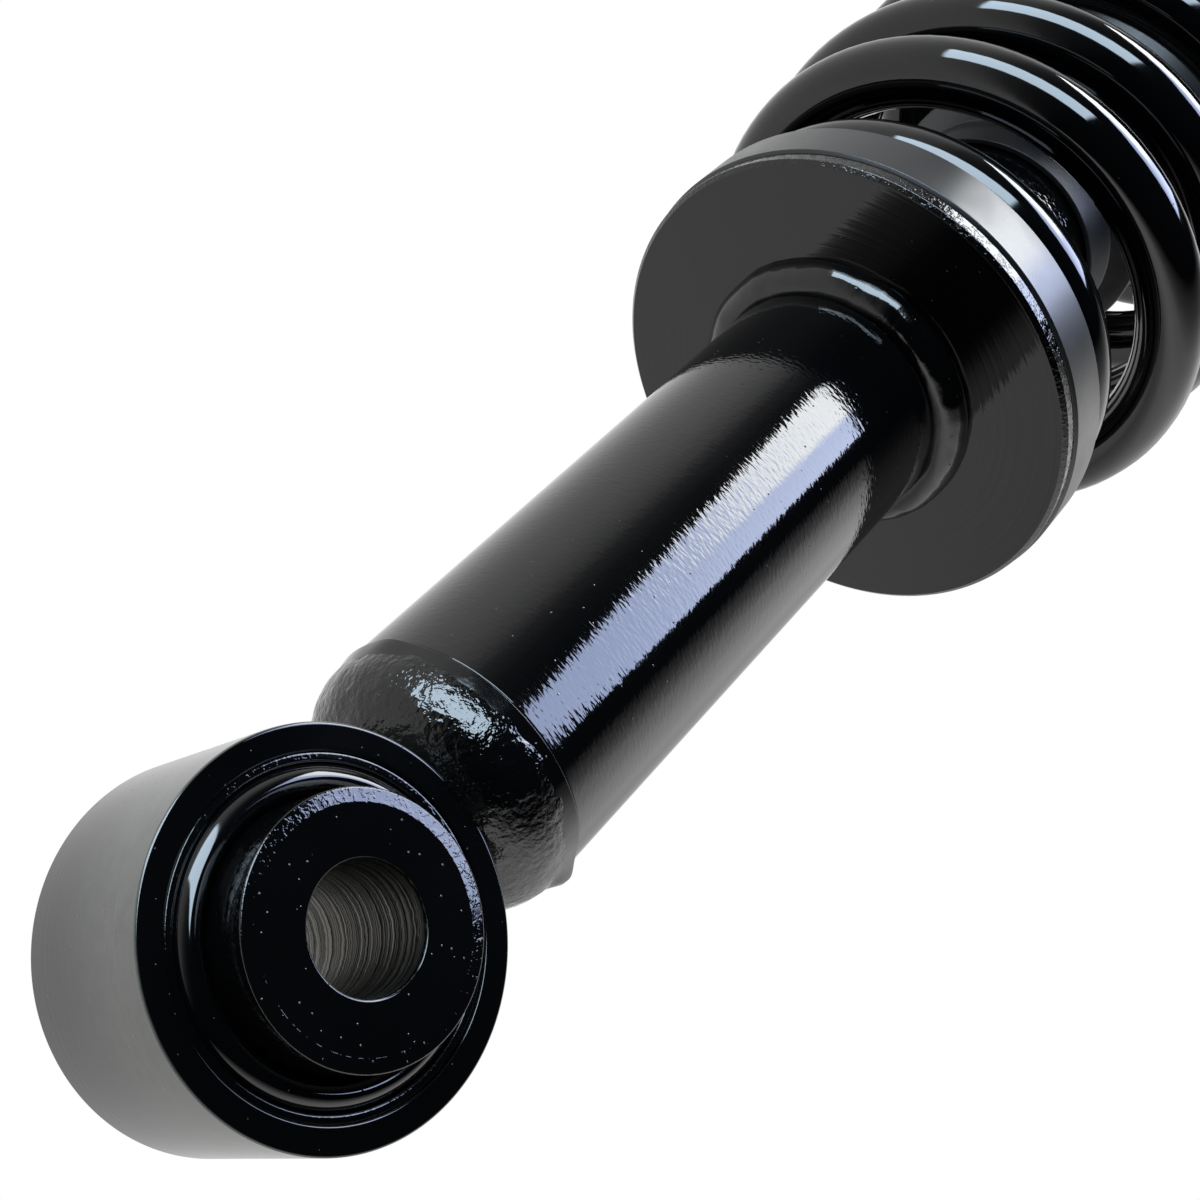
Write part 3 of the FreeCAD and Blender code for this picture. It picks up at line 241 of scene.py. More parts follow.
def gloss_paint(name, feed="height Z", rings=1500.0, cut=0.0, peel=1.0, peel_scale=260.0, nibs=1.0,
                nib_share=0.10, rough=0.07, base=(0.0008, 0.0008, 0.0009), satin=None, painted_sheen=None,
                rough_rim=None, lumps=None, chatter=0.0):
    """Black dipping paint over turned steel.

    cut and chatter are the heights in micrometres of the lathe's rings and its flutter. satin is (feed, from,
    to, roughness), and painted_sheen, which only lies on the satin, is (from, to, colour): a painted sheen, a
    lighter colour in cloudy patches that fades out between the two heights along Y. rough_rim is (feed, from,
    to, height) and lumps (scale, height), with their heights in micrometres too.
    """
    peel_height, nib_height, nib_scale = 14 * MICRON, 55 * MICRON, 720.0
    material, tree, shader, place = new_material(name)
    film = put(tree, "Group", {"Place": place, "Peel Scale": peel_scale, "Nib Scale": nib_scale,
                               "Nib Share": nib_share}, node_tree=paint_film).outputs
    height = reckon(tree, "MULTIPLY", film["Peel"], peel_height * peel)
    height = reckon(tree, "MULTIPLY_ADD", film["Nibs"], nib_height * nibs, height)
    if cut:
        marks = turning_marks(tree, place, along(tree, place, feed), rings)
        height = reckon(tree, "MULTIPLY_ADD", marks, cut * MICRON, height)
    if chatter:
        fine = put(tree, "VectorMath", {0: place, 1: (600, 600, 1400)}, operation="MULTIPLY")
        flutter = clouds(tree, fine.outputs[0], 1.0, 1.0)
        height = reckon(tree, "MULTIPLY_ADD", flutter, chatter * MICRON, height)
    if lumps:
        scale, rise = lumps
        height = reckon(tree, "MULTIPLY_ADD", clouds(tree, place, scale, 2.0), rise * MICRON, height)
    if rough_rim:
        coordinate, low, high, rise = rough_rim
        rim = rising(tree, along(tree, place, coordinate), low * MM, high * MM)
        chips = rising(tree, clouds(tree, place, 900.0, 2.0, 0.6), 0.46, 0.62)
        height = reckon(tree, "MULTIPLY_ADD", reckon(tree, "MULTIPLY", chips, rim), rise * MICRON, height)
    shine = rising(tree, film["Drift"], 0.3, 0.7, rough * 0.8, rough * 1.25)
    if satin:
        coordinate, low, high, dull = satin
        share = rising(tree, along(tree, place, coordinate), low * MM, high * MM)
        shine = reckon(tree, "ADD", shine, reckon(tree, "MULTIPLY", share, dull - rough))
    colour = blend(tree, film["Drift"], base, [1.6 * shade for shade in base])
    # a painted sheen: the satin is lightened towards a colour in cloudy patches, most at the first height and
    # fading out by the second
    if painted_sheen:
        low, high, bloom = painted_sheen
        sheen_fade = rising(tree, along(tree, place, "height Y"), low * MM, high * MM, 1.0, 0.0)
        sheen_mottle = rising(tree, clouds(tree, place, 320.0, 4.0, 0.7), 0.2, 0.8, 0.75, 1.25)
        share = reckon(tree, "MULTIPLY", reckon(tree, "MULTIPLY", sheen_fade, share), sheen_mottle)
        colour = blend(tree, share, colour, bloom)
    wire_up(tree, shader, colour, shine, height)
    shader.inputs["IOR"].default_value = 1.5
    return material


def hand_over(piece, material, body, slot, *nodes):
    """Paint a piece, fix it to its body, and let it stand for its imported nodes."""
    piece.data.materials.clear()
    piece.data.materials.append(material)
    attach(piece, body)
    if nodes:
        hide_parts(*nodes)
    return piece


eye_half = 17.75
eye_radius = 31.75
eye_bore = 27.25
eye_barrel = turned("eye_barrel", [
    (eye_bore, -eye_half, 0.35), (eye_radius, -eye_half, 0.45), (eye_radius, eye_half, 0.45),
    (eye_bore, eye_half, 0.35)], about="Y", slices=240, steps=6)
# its satin side carries a painted sheen, a lighter warm grey that is strongest near the face at negative Y and
# gone near the other
eye_paint = gloss_paint("eye paint", feed="height Y", rings=1100.0, cut=12.0, peel=0.5, nibs=1.2,
                        nib_share=0.3, rough=0.05, satin=("radius Y", 31.4, 31.72, 0.17),
                        painted_sheen=(-16.0, 12.0, (0.05, 0.047, 0.040)))
hand_over(eye_barrel, eye_paint, "damper_body", "black_paint", "eye_ring")

# ---------------------------------------------------------------- bush shell
# The thin steel tube that holds the rubber. It is pressed into the ring until it sits
# just below the face, and its raw edge took the paint unevenly.
shell_bore = 25.65
shell_half = 17.35
bush_shell = turned("bush_shell", [
    (shell_bore, -shell_half, 0.5), (eye_bore, -shell_half, 0.4), (eye_bore, shell_half, 0.4),
    (shell_bore, shell_half, 0.5)], about="Y", slices=240)
shell_paint = gloss_paint("shell paint", peel=1.2, nibs=1.3, nib_share=0.2,
                          rough_rim=("radius Y", 25.3, 25.8, 9.0))
hand_over(bush_shell, shell_paint, "damper_body", "black_paint", "bush_outer_shell")

# ---------------------------------------------------------------- bush rubber
# Natural rubber moulded between shell and sleeve, which it is bonded to. It bulges out
# past its edges at both ends, and the dipping paint has pooled on it to a deep gloss.
sleeve_radius = 20.57
rubber_edge = 16.45
rubber_bulge = 2.2
rubber_bore = sleeve_radius + 0.01
crown_steps = 16
crown = []
for step in range(crown_steps + 1):
    share = step / crown_steps
    rise = rubber_bulge * (1 - (2 * share - 1) ** 2)
    crown.append((rubber_bore + share * (shell_bore - rubber_bore), rubber_edge + rise))
crown += [(across, -level) for across, level in reversed(crown)]
rubber_ring = turned("bush_rubber_ring", crown, about="Y", slices=240)
rubber_paint = gloss_paint("painted rubber", peel=2.2, peel_scale=130.0, nib_share=0.07)
hand_over(rubber_ring, rubber_paint, "damper_body", "black_paint", "bush_rubber")

# ---------------------------------------------------------------- bush inner sleeve
# Thick-walled steel tube that the M20 bolt clamps. Its faces were faced on a lathe, with
# a shallow bevel outside, and painted. The bore was reamed afterwards and is bare steel.
sleeve_half = 27.0
bevel_from = 18.27
bevel_level = 26.81
bolt_radius = 10.1
sleeve_tube = turned("bush_sleeve_tube", [
    (bolt_radius, -sleeve_half, 0.35), (bevel_from, -sleeve_half, 0.25), (sleeve_radius, -bevel_level, 0.3),
    (sleeve_radius, bevel_level, 0.3), (bevel_from, sleeve_half, 0.25), (bolt_radius, sleeve_half, 0.35)],
    about="Y", slices=240)
sleeve_paint = gloss_paint("sleeve paint", feed="radius Y", cut=0.8, peel=0.8, nibs=1.3, nib_share=0.35,
                           rough=0.05, rough_rim=("radius Y", 18.2, 18.35, 16.0))
# the paint stops at the bore, where the reamer's grooves show in bare metal
sleeve_tree = sleeve_paint.node_tree
sleeve_place = sleeve_tree.nodes["Texture Coordinate"].outputs["Object"]
sleeve_shader = sleeve_tree.nodes["Principled BSDF"]
painted_tint, painted_shine, painted_normal = [
    sleeve_shader.inputs[socket].links[0].from_socket for socket in ("Base Color", "Roughness", "Normal")]
relief = painted_normal.node.inputs["Height"]
bare = rising(sleeve_tree, along(sleeve_tree, sleeve_place, "radius Y"), 10.16 * MM, 10.24 * MM, 1.0, 0.0)
reamed = turning_marks(sleeve_tree, None, along(sleeve_tree, sleeve_place, "height Y"), 1050.0)
groove_depth = reckon(sleeve_tree, "MULTIPLY", bare, 160 * MICRON)
painted = reckon(sleeve_tree, "SUBTRACT", 1.0, bare)
painted_height = reckon(sleeve_tree, "MULTIPLY", relief.links[0].from_socket, painted)
sleeve_tree.links.new(reckon(sleeve_tree, "MULTIPLY_ADD", reamed, groove_depth, painted_height), relief)
# the groove bottoms are coloured darker than the crests, a painted shade in the reamer's grooves
groove_shade = rising(sleeve_tree, reamed, 0.4, 0.62)
steel_tint = blend(sleeve_tree, groove_shade, (0.008, 0.008, 0.007), (0.17, 0.165, 0.145))
bore_tint = blend(sleeve_tree, bare, painted_tint, steel_tint)
bore_shine = reckon(sleeve_tree, "MULTIPLY_ADD", bare, 0.3, painted_shine)
sleeve_tree.links.new(bore_tint, sleeve_shader.inputs["Base Color"])
sleeve_tree.links.new(bore_shine, sleeve_shader.inputs["Roughness"])
sleeve_tree.links.new(bare, sleeve_shader.inputs["Metallic"])
hand_over(sleeve_tube, sleeve_paint, "bush_sleeve", "black_paint", "bush_inner_sleeve")

# ---------------------------------------------------------------- bottom cap
# Pressed steel cup that closes the damper's foot, with its shoulder drawn round. It is
# saddled on the eye ring and welded to it, so spatter and thick paint lie all over it.
tube_radius = 25.4
tube_inside = 23.1
cap_foot = 29.5
tube_foot = 45.7


def weathered(piece, rise, size, keep_off=lambda spot: False):
    """Lumps of weld and thick paint raised on a piece by cloud textures, where keep_off(point) is false."""
    group = piece.vertex_groups.new(name="lumpy")
    group.add([vertex.index for vertex in piece.data.vertices if not keep_off(vertex.co)], 1.0, "REPLACE")
    lumpy = bpy.data.textures.new(piece.name + " lumps", "CLOUDS")
    lumpy.noise_scale = size * MM
    lumpy.noise_depth = 2
    bpy.context.view_layer.objects.active = piece
    bpy.ops.object.modifier_add(type="DISPLACE")
    lumps = piece.modifiers[-1]
    lumps.texture = lumpy
    lumps.texture_coords = "LOCAL"
    lumps.strength = rise * MM
    lumps.mid_level = 0.5
    lumps.vertex_group = group.name
    bpy.ops.object.modifier_apply(modifier=lumps.name)
    piece.vertex_groups.clear()


shoulder_round = 13.5
rim_outside = tube_inside - 0.05
rim_inside = 20.05
rim_top = 51.0
shoulder = rounded([(0, cap_foot), (tube_radius, cap_foot, shoulder_round), (tube_radius, tube_foot)], 26)
cap_outline = [tuple(point) for point in shoulder]
cap_outline += [(rim_outside, tube_foot), (rim_outside, rim_top), (rim_inside, rim_top), (rim_inside, 37.5),
                (18.05, 35.5), (0, 35.5)]
cap_cup = turned("bottom_cap", cap_outline, slices=220)


def kept_smooth(spot):
    """Whether a point of the cap is at its foot, inside the eye ring, or inside the cup."""
    across = spot.xy.length / MM
    return across < 12 or across < 23.3 and spot.z / MM > 35


weathered(cap_cup, 0.5, 5.0, kept_smooth)
cap_paint = gloss_paint("cap paint", peel=2.0, peel_scale=320.0, nibs=1.6, nib_share=0.35,
                        lumps=(800.0, 260.0))
hand_over(cap_cup, cap_paint, "damper_body", "black_paint", "base_cap")

# ---------------------------------------------------------------- seam weld of the cap
# One pass of weld round the joint of cap and tube. It stands a little proud, rippled,
# with three swellings where thick paint ran together.
seam_foot = 42.0
seam_skin = 25.2
seam_run_in = 2.0
seam_ease = 0.12
seam_outline = [
    (24.6, 41.0), (25.22, 41.8), (25.3, 42.2), (25.44, 43.0), (25.64, 44.2), (25.82, 45.3, seam_ease),
    (25.45, tube_foot, seam_ease), (24.9, tube_foot - 0.2, seam_ease)]
seam_bead = turned("cap_seam_weld", seam_outline, slices=360, steps=3)
swelling_width = 9.0
swellings = ((-165.0, 0.5), (-20.0, 1.2), (25.0, 0.8))
for vertex in seam_bead.data.vertices:
    spot = vertex.co
    heading = math.degrees(math.atan2(spot.y, spot.x))
    ripple = noise.noise(spot * 260.0) * 0.05 + noise.noise(spot * 90.0) * 0.12
    for centre, size in swellings:
        away = (heading - centre + 180) % 360 - 180
        ripple += size * math.exp(-(away / swelling_width) ** 2)
    ripple *= min(max((spot.z / MM - seam_foot) / seam_run_in, 0), 1)
    if spot.xy.length > seam_skin * MM:
        spot.xy *= 1 + ripple * MM / spot.xy.length
seam_paint = gloss_paint("seam paint", peel=1.6, peel_scale=320.0, nibs=1.6, nib_share=0.35,
                         lumps=(420.0, 22.0))
hand_over(seam_bead, seam_paint, "damper_body", "black_paint", "cap_weld")

# ---------------------------------------------------------------- eye weld
# The fillet weld that runs round the saddle and joins the cap to the eye ring. It is one
# slim bead bent over the ring, lumpy as run metal is, under the same thick paint.
bpy.ops.object.select_all(action="DESELECT")
bead_reach = 16.2
bead_radius = 2.4
bead_lift = 0.8
bpy.ops.mesh.primitive_torus_add(
    major_radius=bead_reach * MM, minor_radius=bead_radius * MM, major_segments=240, minor_segments=28)
eye_weld_bead = bpy.context.object
eye_weld_bead.name = "eye_saddle_weld"
for vertex in eye_weld_bead.data.vertices:
    spot = vertex.co
    spot.y *= 0.9
    spot.z += math.sqrt((eye_radius * MM) ** 2 - spot.x ** 2) + bead_lift * MM
weathered(eye_weld_bead, 1.3, 3.5)
bpy.ops.object.shade_smooth()
hand_over(eye_weld_bead, cap_paint, "damper_body", "black_paint", "eye_weld")

# ---------------------------------------------------------------- reserve tube
# Drawn steel tube, 50.8 mm outside, whose top is rolled over the seal's washer. It was
# skimmed on a lathe before the paint, and those rings break up every reflection's edge.
tube_top = 262.0
tube_lip_bore = 17.0
tube_lip_under = 259.7
reserve = turned("damper_tube", [
    (tube_inside, tube_foot), (tube_radius, tube_foot, 0.3), (tube_radius, tube_top, 2.0),
    (tube_lip_bore, tube_top, 0.6), (tube_lip_bore, tube_lip_under), (tube_inside, tube_lip_under)],
    slices=240)
tube_paint = gloss_paint("tube paint", rings=1350.0, cut=5.0, peel=0.8, peel_scale=160.0, nibs=0.9,
                         nib_share=0.12, rough=0.055, chatter=32.0)
hand_over(reserve, tube_paint, "damper_body", "black_paint", "reserve_tube")

# ---------------------------------------------------------------- spring seat plate
# Turned steel plate with a drawn collar, welded to the tube from below. Its face shows
# the facing cuts as rings, and its chamfered rim took chips before it was painted.
seat_face = 179.4
seat_top = 183.2
seat_radius = 52.2
seat_chamfer = 0.95
collar_radius = 29.4
collar_top = 189.8
seat_plate = turned("spring_seat_plate", [
    (tube_radius, seat_face), (seat_radius - seat_chamfer, seat_face, 0.3),
    (seat_radius, seat_face + seat_chamfer, 0.3), (seat_radius, seat_top, 0.35),
    (collar_radius, seat_top, 0.8), (collar_radius, collar_top, 0.6), (tube_radius, collar_top)], slices=300)
seat_paint = gloss_paint("seat paint", feed="radius Z", rings=650.0, cut=32.0, peel=0.8, peel_scale=120.0,
                         rough=0.06, rough_rim=("radius Z", 51.0, 51.5, 40.0))
hand_over(seat_plate, seat_paint, "damper_body", "black_paint", "lower_seat_plate")

# ---------------------------------------------------------------- seat weld
# The fillet weld that carries the spring's load into the tube, laid in one turn under
# the plate. Its bead is a quarter round that swells and thins a little on its way.
weld_inside = 25.2
weld_top = 179.5
weld_centre = (25.9, 178.9)
weld_legs = (5.0, 5.1)
weld_skin = 25.6
weld_skin_top = 179.2
weld_steps = 14
weld_outline = [(weld_inside, 174.0)]
for step in range(weld_steps + 1):
    lean = math.radians(-92 + 92 * step / weld_steps)
    across, level = weld_legs[0] * math.cos(lean), weld_legs[1] * math.sin(lean)
    weld_outline.append((weld_centre[0] + across, weld_centre[1] + level))
weld_outline += [(30.8, weld_top), (weld_inside, weld_top)]
seat_bead = turned("seat_fillet_weld", weld_outline, slices=420)
for vertex in seat_bead.data.vertices:
    spot = vertex.co
    if spot.xy.length > weld_skin * MM and spot.z < weld_skin_top * MM:
        ripple = 0.4 * noise.noise(spot * 110.0) + 0.1 * noise.noise(spot * 330.0)
        spot.xy *= 1 + ripple * MM / spot.xy.length
        spot.z -= ripple * 0.6 * MM
weld_paint = gloss_paint("weld paint", peel=1.6, peel_scale=320.0, nibs=1.6, nib_share=0.3, rough=0.08,
                         lumps=(500.0, 50.0))
hand_over(seat_bead, weld_paint, "damper_body", "black_paint", "seat_weld")

# ---------------------------------------------------------------- spring perch ring
# The turned ring that lies on the plate and spreads the spring's load. Its edges are
# broken, and its side was blasted before the paint, so it is satin.
perch_top = 195.3
perch_radius = 52.8
perch_bore = 29.8
perch_chamfer = 0.6
perch = turned("spring_perch", [
    (perch_bore, seat_top, 0.3), (perch_radius - perch_chamfer, seat_top, 0.25),
    (perch_radius, seat_top + perch_chamfer, 0.25), (perch_radius, perch_top - perch_chamfer, 0.25),
    (perch_radius - perch_chamfer, perch_top, 0.25), (perch_bore, perch_top, 0.3)], slices=300)
perch_paint = gloss_paint("perch paint", rings=700.0, cut=2.0, peel=0.6, nibs=0.5, rough=0.30,
                          base=(0.003, 0.003, 0.0032))
hand_over(perch, perch_paint, "damper_body", "black_paint", "spring_perch_ring")


# ---------------------------------------------------------------- lower isolator
# Moulded rubber washer between perch and coil, with a raised lip that centres the end
# coil. It is black, matt and slightly dusty.
def moulded_rubber(name, tint, rough, grain, depth):
    """Moulded rubber: a fine grain, a duller bloom in patches, and a soft sheen."""
    material, tree, shader, place = new_material(name)
    bloom = clouds(tree, place, 60.0, 4.0, 0.6)
    colour = blend(tree, rising(tree, bloom, 0.42, 0.68), tint, [1.9 * shade for shade in tint])
    shine = rising(tree, bloom, 0.3, 0.7, rough * 0.85, rough * 1.15)
    wire_up(tree, shader, colour, shine, clouds(tree, place, grain, 3.0, 0.7), depth * MICRON)
    shader.inputs["IOR"].default_value = 1.4
    return material


pad_top = 197.3
pad_radius = 51.0
lip_inside = 31.2
lip_outside = 34.6
lip_top = 205.3
lower_pad = turned("lower_pad", [
    (lip_inside, perch_top, 0.4), (pad_radius, perch_top, 0.3), (pad_radius, pad_top, 0.8),
    (lip_outside, pad_top, 0.8), (lip_outside, lip_top, 1.2), (lip_inside, lip_top, 1.2)], slices=200)
pad_rubber = moulded_rubber("pad rubber", (0.004, 0.004, 0.0043), 0.5, 1600.0, 18.0)
hand_over(lower_pad, pad_rubber, "damper_body", "rubber", "lower_isolator")

# ---------------------------------------------------------------- coil spring
# Right-handed spring of 15.2 mm chrome-silicon wire, cold wound, shot peened and powder
# coated. The end coil is small and sits flat, and the working coils open out above it.
wire_radius = 7.6
end_coil_radius = 42.7
coil_radius = 52.7
tip_heading = 140.0
coil_turns = 8.0
coil_stations = [
    (0.0, 204.9, 1.0), (0.5, 205.9, 6.0), (1.106, 227.3, 15.7), (1.75, 241.693, 29.0),
    (2.75, 274.47, 36.553), (6.6, 415.2, 36.553), (7.3, 434.856, 13.89), (coil_turns, 440.4, 0.0)]


def coil_height(turn):
    """Height of the wire's centre line, a cubic between its stations of (turn, height, rise each turn)."""
    rank = max(place for place in range(len(coil_stations) - 1) if coil_stations[place][0] <= turn + 1e-9)
    (turn_a, height_a, rise_a), (turn_b, height_b, rise_b) = coil_stations[rank:rank + 2]
    span = turn_b - turn_a
    share = (turn - turn_a) / span
    square, cube = share ** 2, share ** 3
    return ((2 * cube - 3 * square + 1) * height_a + (cube - 2 * square + share) * span * rise_a
            + (3 * square - 2 * cube) * height_b + (cube - square) * span * rise_b)


coil_steps = 768
opening_from = 0.55
opening_over = 0.78
bpy.ops.object.select_all(action="DESELECT")
bpy.ops.curve.primitive_nurbs_path_add()
coil = bpy.context.object
coil.name = "spring_coil"
coil.data.splines.clear()
wire = coil.data.splines.new("POLY")
wire.points.add(coil_steps)
for step in range(coil_steps + 1):
    turn = coil_turns * step / coil_steps
    opened = min(max((turn - opening_from) / opening_over, 0.0), 1.0)
    reach = end_coil_radius + (coil_radius - end_coil_radius) * opened * opened * (3 - 2 * opened)
    heading = math.radians(tip_heading) + 2 * math.pi * turn
    across, aside = reach * math.cos(heading) * MM, reach * math.sin(heading) * MM
    wire.points[step].co = (across, aside, coil_height(turn) * MM, 1)
wire.use_smooth = True
coil.data.dimensions = "3D"
coil.data.twist_mode = "MINIMUM"
coil.data.bevel_depth = wire_radius * MM
coil.data.bevel_resolution = 10
coil.data.use_fill_caps = True
bpy.ops.object.convert(target="MESH")
bpy.ops.object.mode_set(mode="EDIT")
bpy.ops.mesh.select_all(action="SELECT")
bpy.ops.mesh.remove_doubles(threshold=0.001 * MM)
bpy.ops.mesh.normals_make_consistent(inside=False)
bpy.ops.object.mode_set(mode="OBJECT")
bpy.ops.object.shade_smooth_by_angle(angle=SMOOTH_UNDER)
spring_coat = gloss_paint("spring coat", peel=1.1, peel_scale=200.0, nibs=0.8, nib_share=0.03, rough=0.06)
hand_over(coil, spring_coat, "damper_body", "spring_coat", "coil_spring")
coil_top = 448.0
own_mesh(coil)


# ---------------------------------------------------------------- bump cap
# Pressed steel cap over the tube's top, for the bump stop to land on. Zinc plated and
# passivated, with three vents.
def worked_metal(name, tint, rough, feed="radius Z", rings=900.0, cut=3.0, mottle=0.25, grain=0.0):
    """Bare or plated metal: rings of the lathe or press, mottled plating and optional coarse grain.

    cut and grain are heights in micrometres, and mottle is how much darker the dark patches are.
    """
    pore_scale = 1800.0
    material, tree, shader, place = new_material(name)
    marks = turning_marks(tree, place, along(tree, place, feed), rings)
    height = reckon(tree, "MULTIPLY", marks, cut * MICRON)
    if grain:
        pores = put(tree, "TexVoronoi", {"Vector": place, "Scale": pore_scale})
        height = reckon(tree, "MULTIPLY_ADD", pores.outputs["Distance"], grain * MICRON, height)
    patches = clouds(tree, place, 140.0, 5.0, 0.65)
    colour = blend(tree, rising(tree, patches, 0.35, 0.65), [shade * (1 - mottle) for shade in tint], tint)
    wire_up(tree, shader, colour, rising(tree, patches, 0.3, 0.7, rough * 0.8, rough * 1.3), height)
    shader.inputs["Metallic"].default_value = 1.0
    return material


def repaint(material, *nodes):
    """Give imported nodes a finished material."""
    for node in nodes:
        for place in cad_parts[node].material_slots:
            place.material = material


zinc = worked_metal("zinc plate", (0.55, 0.54, 0.48), 0.28)
repaint(zinc, "bump_cap", "mount_spacer", "piston_nut")

# ---------------------------------------------------------------- bump stop
# Microcellular polyurethane, moulded in a stepped cone that closes progressively. It is
# pressed over the rod and bears on the washer above.
stop_foot = 385.7
stop_length = 62.0
stop_bore = 9.3
stop_profile = [(15.0, 0.0), (16.5, 0.05), (16.5, 0.24), (13.5, 0.3), (18.0, 0.36), (18.0, 0.56),
                (16.0, 0.62), (21.0, 0.68), (21.0, 1.0)]
stop_corners = [(stop_bore, stop_foot, 0.6)]
stop_corners += [(across, stop_foot + share * stop_length, 1.0) for across, share in stop_profile]
stop_corners += [(stop_bore, stop_foot + stop_length, 0.6)]
foam_stop = turned("foam_bump_stop", stop_corners, slices=120, steps=4)
foam, foam_tree, foam_shader, foam_place = new_material("microcellular foam")
foam_cells = put(foam_tree, "TexVoronoi", {"Vector": foam_place, "Scale": 2200.0})
foam_patches = clouds(foam_tree, foam_place, 90.0, 4.0)
foam_tint = blend(foam_tree, foam_patches, (0.46, 0.38, 0.22), (0.62, 0.54, 0.36))
foam_shine = rising(foam_tree, foam_patches, 0.3, 0.7, 0.7, 0.85)
wire_up(foam_tree, foam_shader, foam_tint, foam_shine, foam_cells.outputs["Distance"], 120 * MICRON)
hand_over(foam_stop, foam, "rod_and_mount", "foam", "bump_stop")

# ---------------------------------------------------------------- dust boot
# Blow-moulded bellows that keeps dirt off the rod. Its plain collars grip the tube below
# and the washer above, and it has thirteen folds, modelled at one fixed length.
boot_foot = 252.0
boot_top = 450.5
boot_bore = 25.8
boot_wall = 1.3
fold_depth = 5.4
fold_count = 13
collar_length = 11.0
folds_foot = boot_foot + collar_length
fold_pitch = (boot_top - collar_length - folds_foot) / fold_count
boot_skin = [(boot_bore, boot_foot, 0.3), (boot_bore, folds_foot, 1.0)]
for fold in range(fold_count):
    boot_skin.append((boot_bore + fold_depth, folds_foot + (fold + 0.5) * fold_pitch, 1.0))
    boot_skin.append((boot_bore, folds_foot + (fold + 1) * fold_pitch, 1.0))
boot_skin.append((boot_bore, boot_top, 0.3))
boot_outside = [(across + boot_wall, level, ease) for across, level, ease in reversed(boot_skin)]
bellows = turned("bellows_boot", boot_skin + boot_outside, slices=120, steps=4)
boot_rubber = moulded_rubber("boot rubber", (0.008, 0.008, 0.0085), 0.36, 900.0, 10.0)
hand_over(bellows, boot_rubber, "damper_body", "boot_rubber", "dust_boot")
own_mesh(bellows)

# ---------------------------------------------------------------- piston rod
# Ground and hard chromed bar, 18 mm, turned down and threaded M12 at both ends. The
# threads are rolled before the chrome, and the chromed length is polished.
rod_low, rod_high = (corner.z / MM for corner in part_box("piston_rod"))
shank_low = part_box("piston_stop_washer")[1].z / MM
rod_radius = 9.0
rod_shoulder = 448.0


def cut_thread(piece, radius, low, high, pitch):
    """Cut a rolled thread into the plain rows of a shank: a helical groove that runs out at both ends."""
    depth = 0.54 * pitch
    for vertex in piece.data.vertices:
        level = vertex.co.z / MM
        across = vertex.co.xy / MM
        if not low < level < high or across.length < radius - 0.01:
            continue
        phase = (level / pitch - math.atan2(across.y, across.x) / (2 * math.pi)) % 1.0
        fade = min((level - low) / pitch, (high - level) / pitch, 1.0)
        vertex.co.xy = across * (1 - depth * fade * (1 - abs(2 * phase - 1)) / across.length) * MM


def rows(low, high, pitch):
    """Levels for a thread, eight to each pitch."""
    count = int((high - low) / pitch * 8)
    return [low + (high - low) * row / count for row in range(count + 1)]


shank = 6.0
rod_bevel = 1.0
rod_pitch = 1.75
piston_thread = (rod_low + rod_bevel, rod_low + 14.0)
mount_thread = (rod_high - 22.0, rod_high - rod_bevel)
rod_corners = [(0, rod_low), (shank - rod_bevel, rod_low)]
rod_corners += [(shank, level) for level in rows(*piston_thread, rod_pitch)]
rod_corners += [(shank, shank_low), (rod_radius, shank_low, 0.5), (rod_radius, rod_shoulder, 0.5)]
rod_corners += [(shank, rod_shoulder)]
rod_corners += [(shank, level) for level in rows(*mount_thread, rod_pitch)]
rod_corners += [(shank - rod_bevel, rod_high), (0, rod_high)]
rod_bar = turned("chromed_rod", rod_corners, slices=96)
cut_thread(rod_bar, shank, *piston_thread, rod_pitch)
cut_thread(rod_bar, shank, *mount_thread, rod_pitch)
chrome = worked_metal("hard chrome", (0.66, 0.67, 0.70), 0.07, feed="height Z", rings=2500.0, cut=0.4,
                      mottle=0.06)
hand_over(rod_bar, chrome, "rod_and_mount", "hard_chrome", "piston_rod")

# ---------------------------------------------------------------- cupped washers
# Pressed steel washers, zinc plated, that clamp the mount's rubber between them. The
# lower one also holds the top of the boot.
washer_bore = 6.0
washer_radius = 25.5
washer_height = 2.5
upper_washer_foot = 484.0
for name, node, foot in (("lower_cup_washer", "lower_mount_washer", rod_shoulder),
                         ("upper_cup_washer", "upper_mount_washer", upper_washer_foot)):
    top = foot + washer_height
    washer = turned(name, [(washer_bore, foot, 0.2), (washer_radius, foot, 0.9), (washer_radius, top, 0.6),
                           (washer_bore, top, 0.2)])
    hand_over(washer, zinc, "rod_and_mount", "zinc_plate", node)

# ---------------------------------------------------------------- mount bushes
# Two rubber bushes squeezed above and below the plate, which let the rod tilt a little.
# They swell at the waist where the washers press them.
bush_rubber = moulded_rubber("bush rubber", (0.016, 0.016, 0.017), 0.55, 1300.0, 22.0)
plate_under = 465.0
plate_top = 470.0
for name, node, foot, top in (
        ("lower_rubber_bush", "lower_mount_bush", rod_shoulder + washer_height, plate_under),
        ("upper_rubber_bush", "upper_mount_bush", plate_top, upper_washer_foot)):
    cushion = turned(name, [
        (8.5, foot, 0.3), (22.2, foot, 0.6), (23.0, foot + 1.6, 1.2), (23.5, (foot + top) / 2, 20.0),
        (23.0, top - 1.6, 1.2), (22.2, top, 0.6), (8.5, top, 0.3)], slices=140)
    hand_over(cushion, bush_rubber, "rod_and_mount", "rubber", node)

# ---------------------------------------------------------------- rod nut and mount plate
# The nut is a plated M12 hexagon. The plate is 5 mm steel, laser cut with three corners,
# edges deburred, then painted as the body is.
repaint(zinc, "rod_nut")
plate_paint = gloss_paint("plate paint", peel=1.6, peel_scale=180.0, nib_share=0.08, rough=0.12)
repaint(plate_paint, "mount_plate")

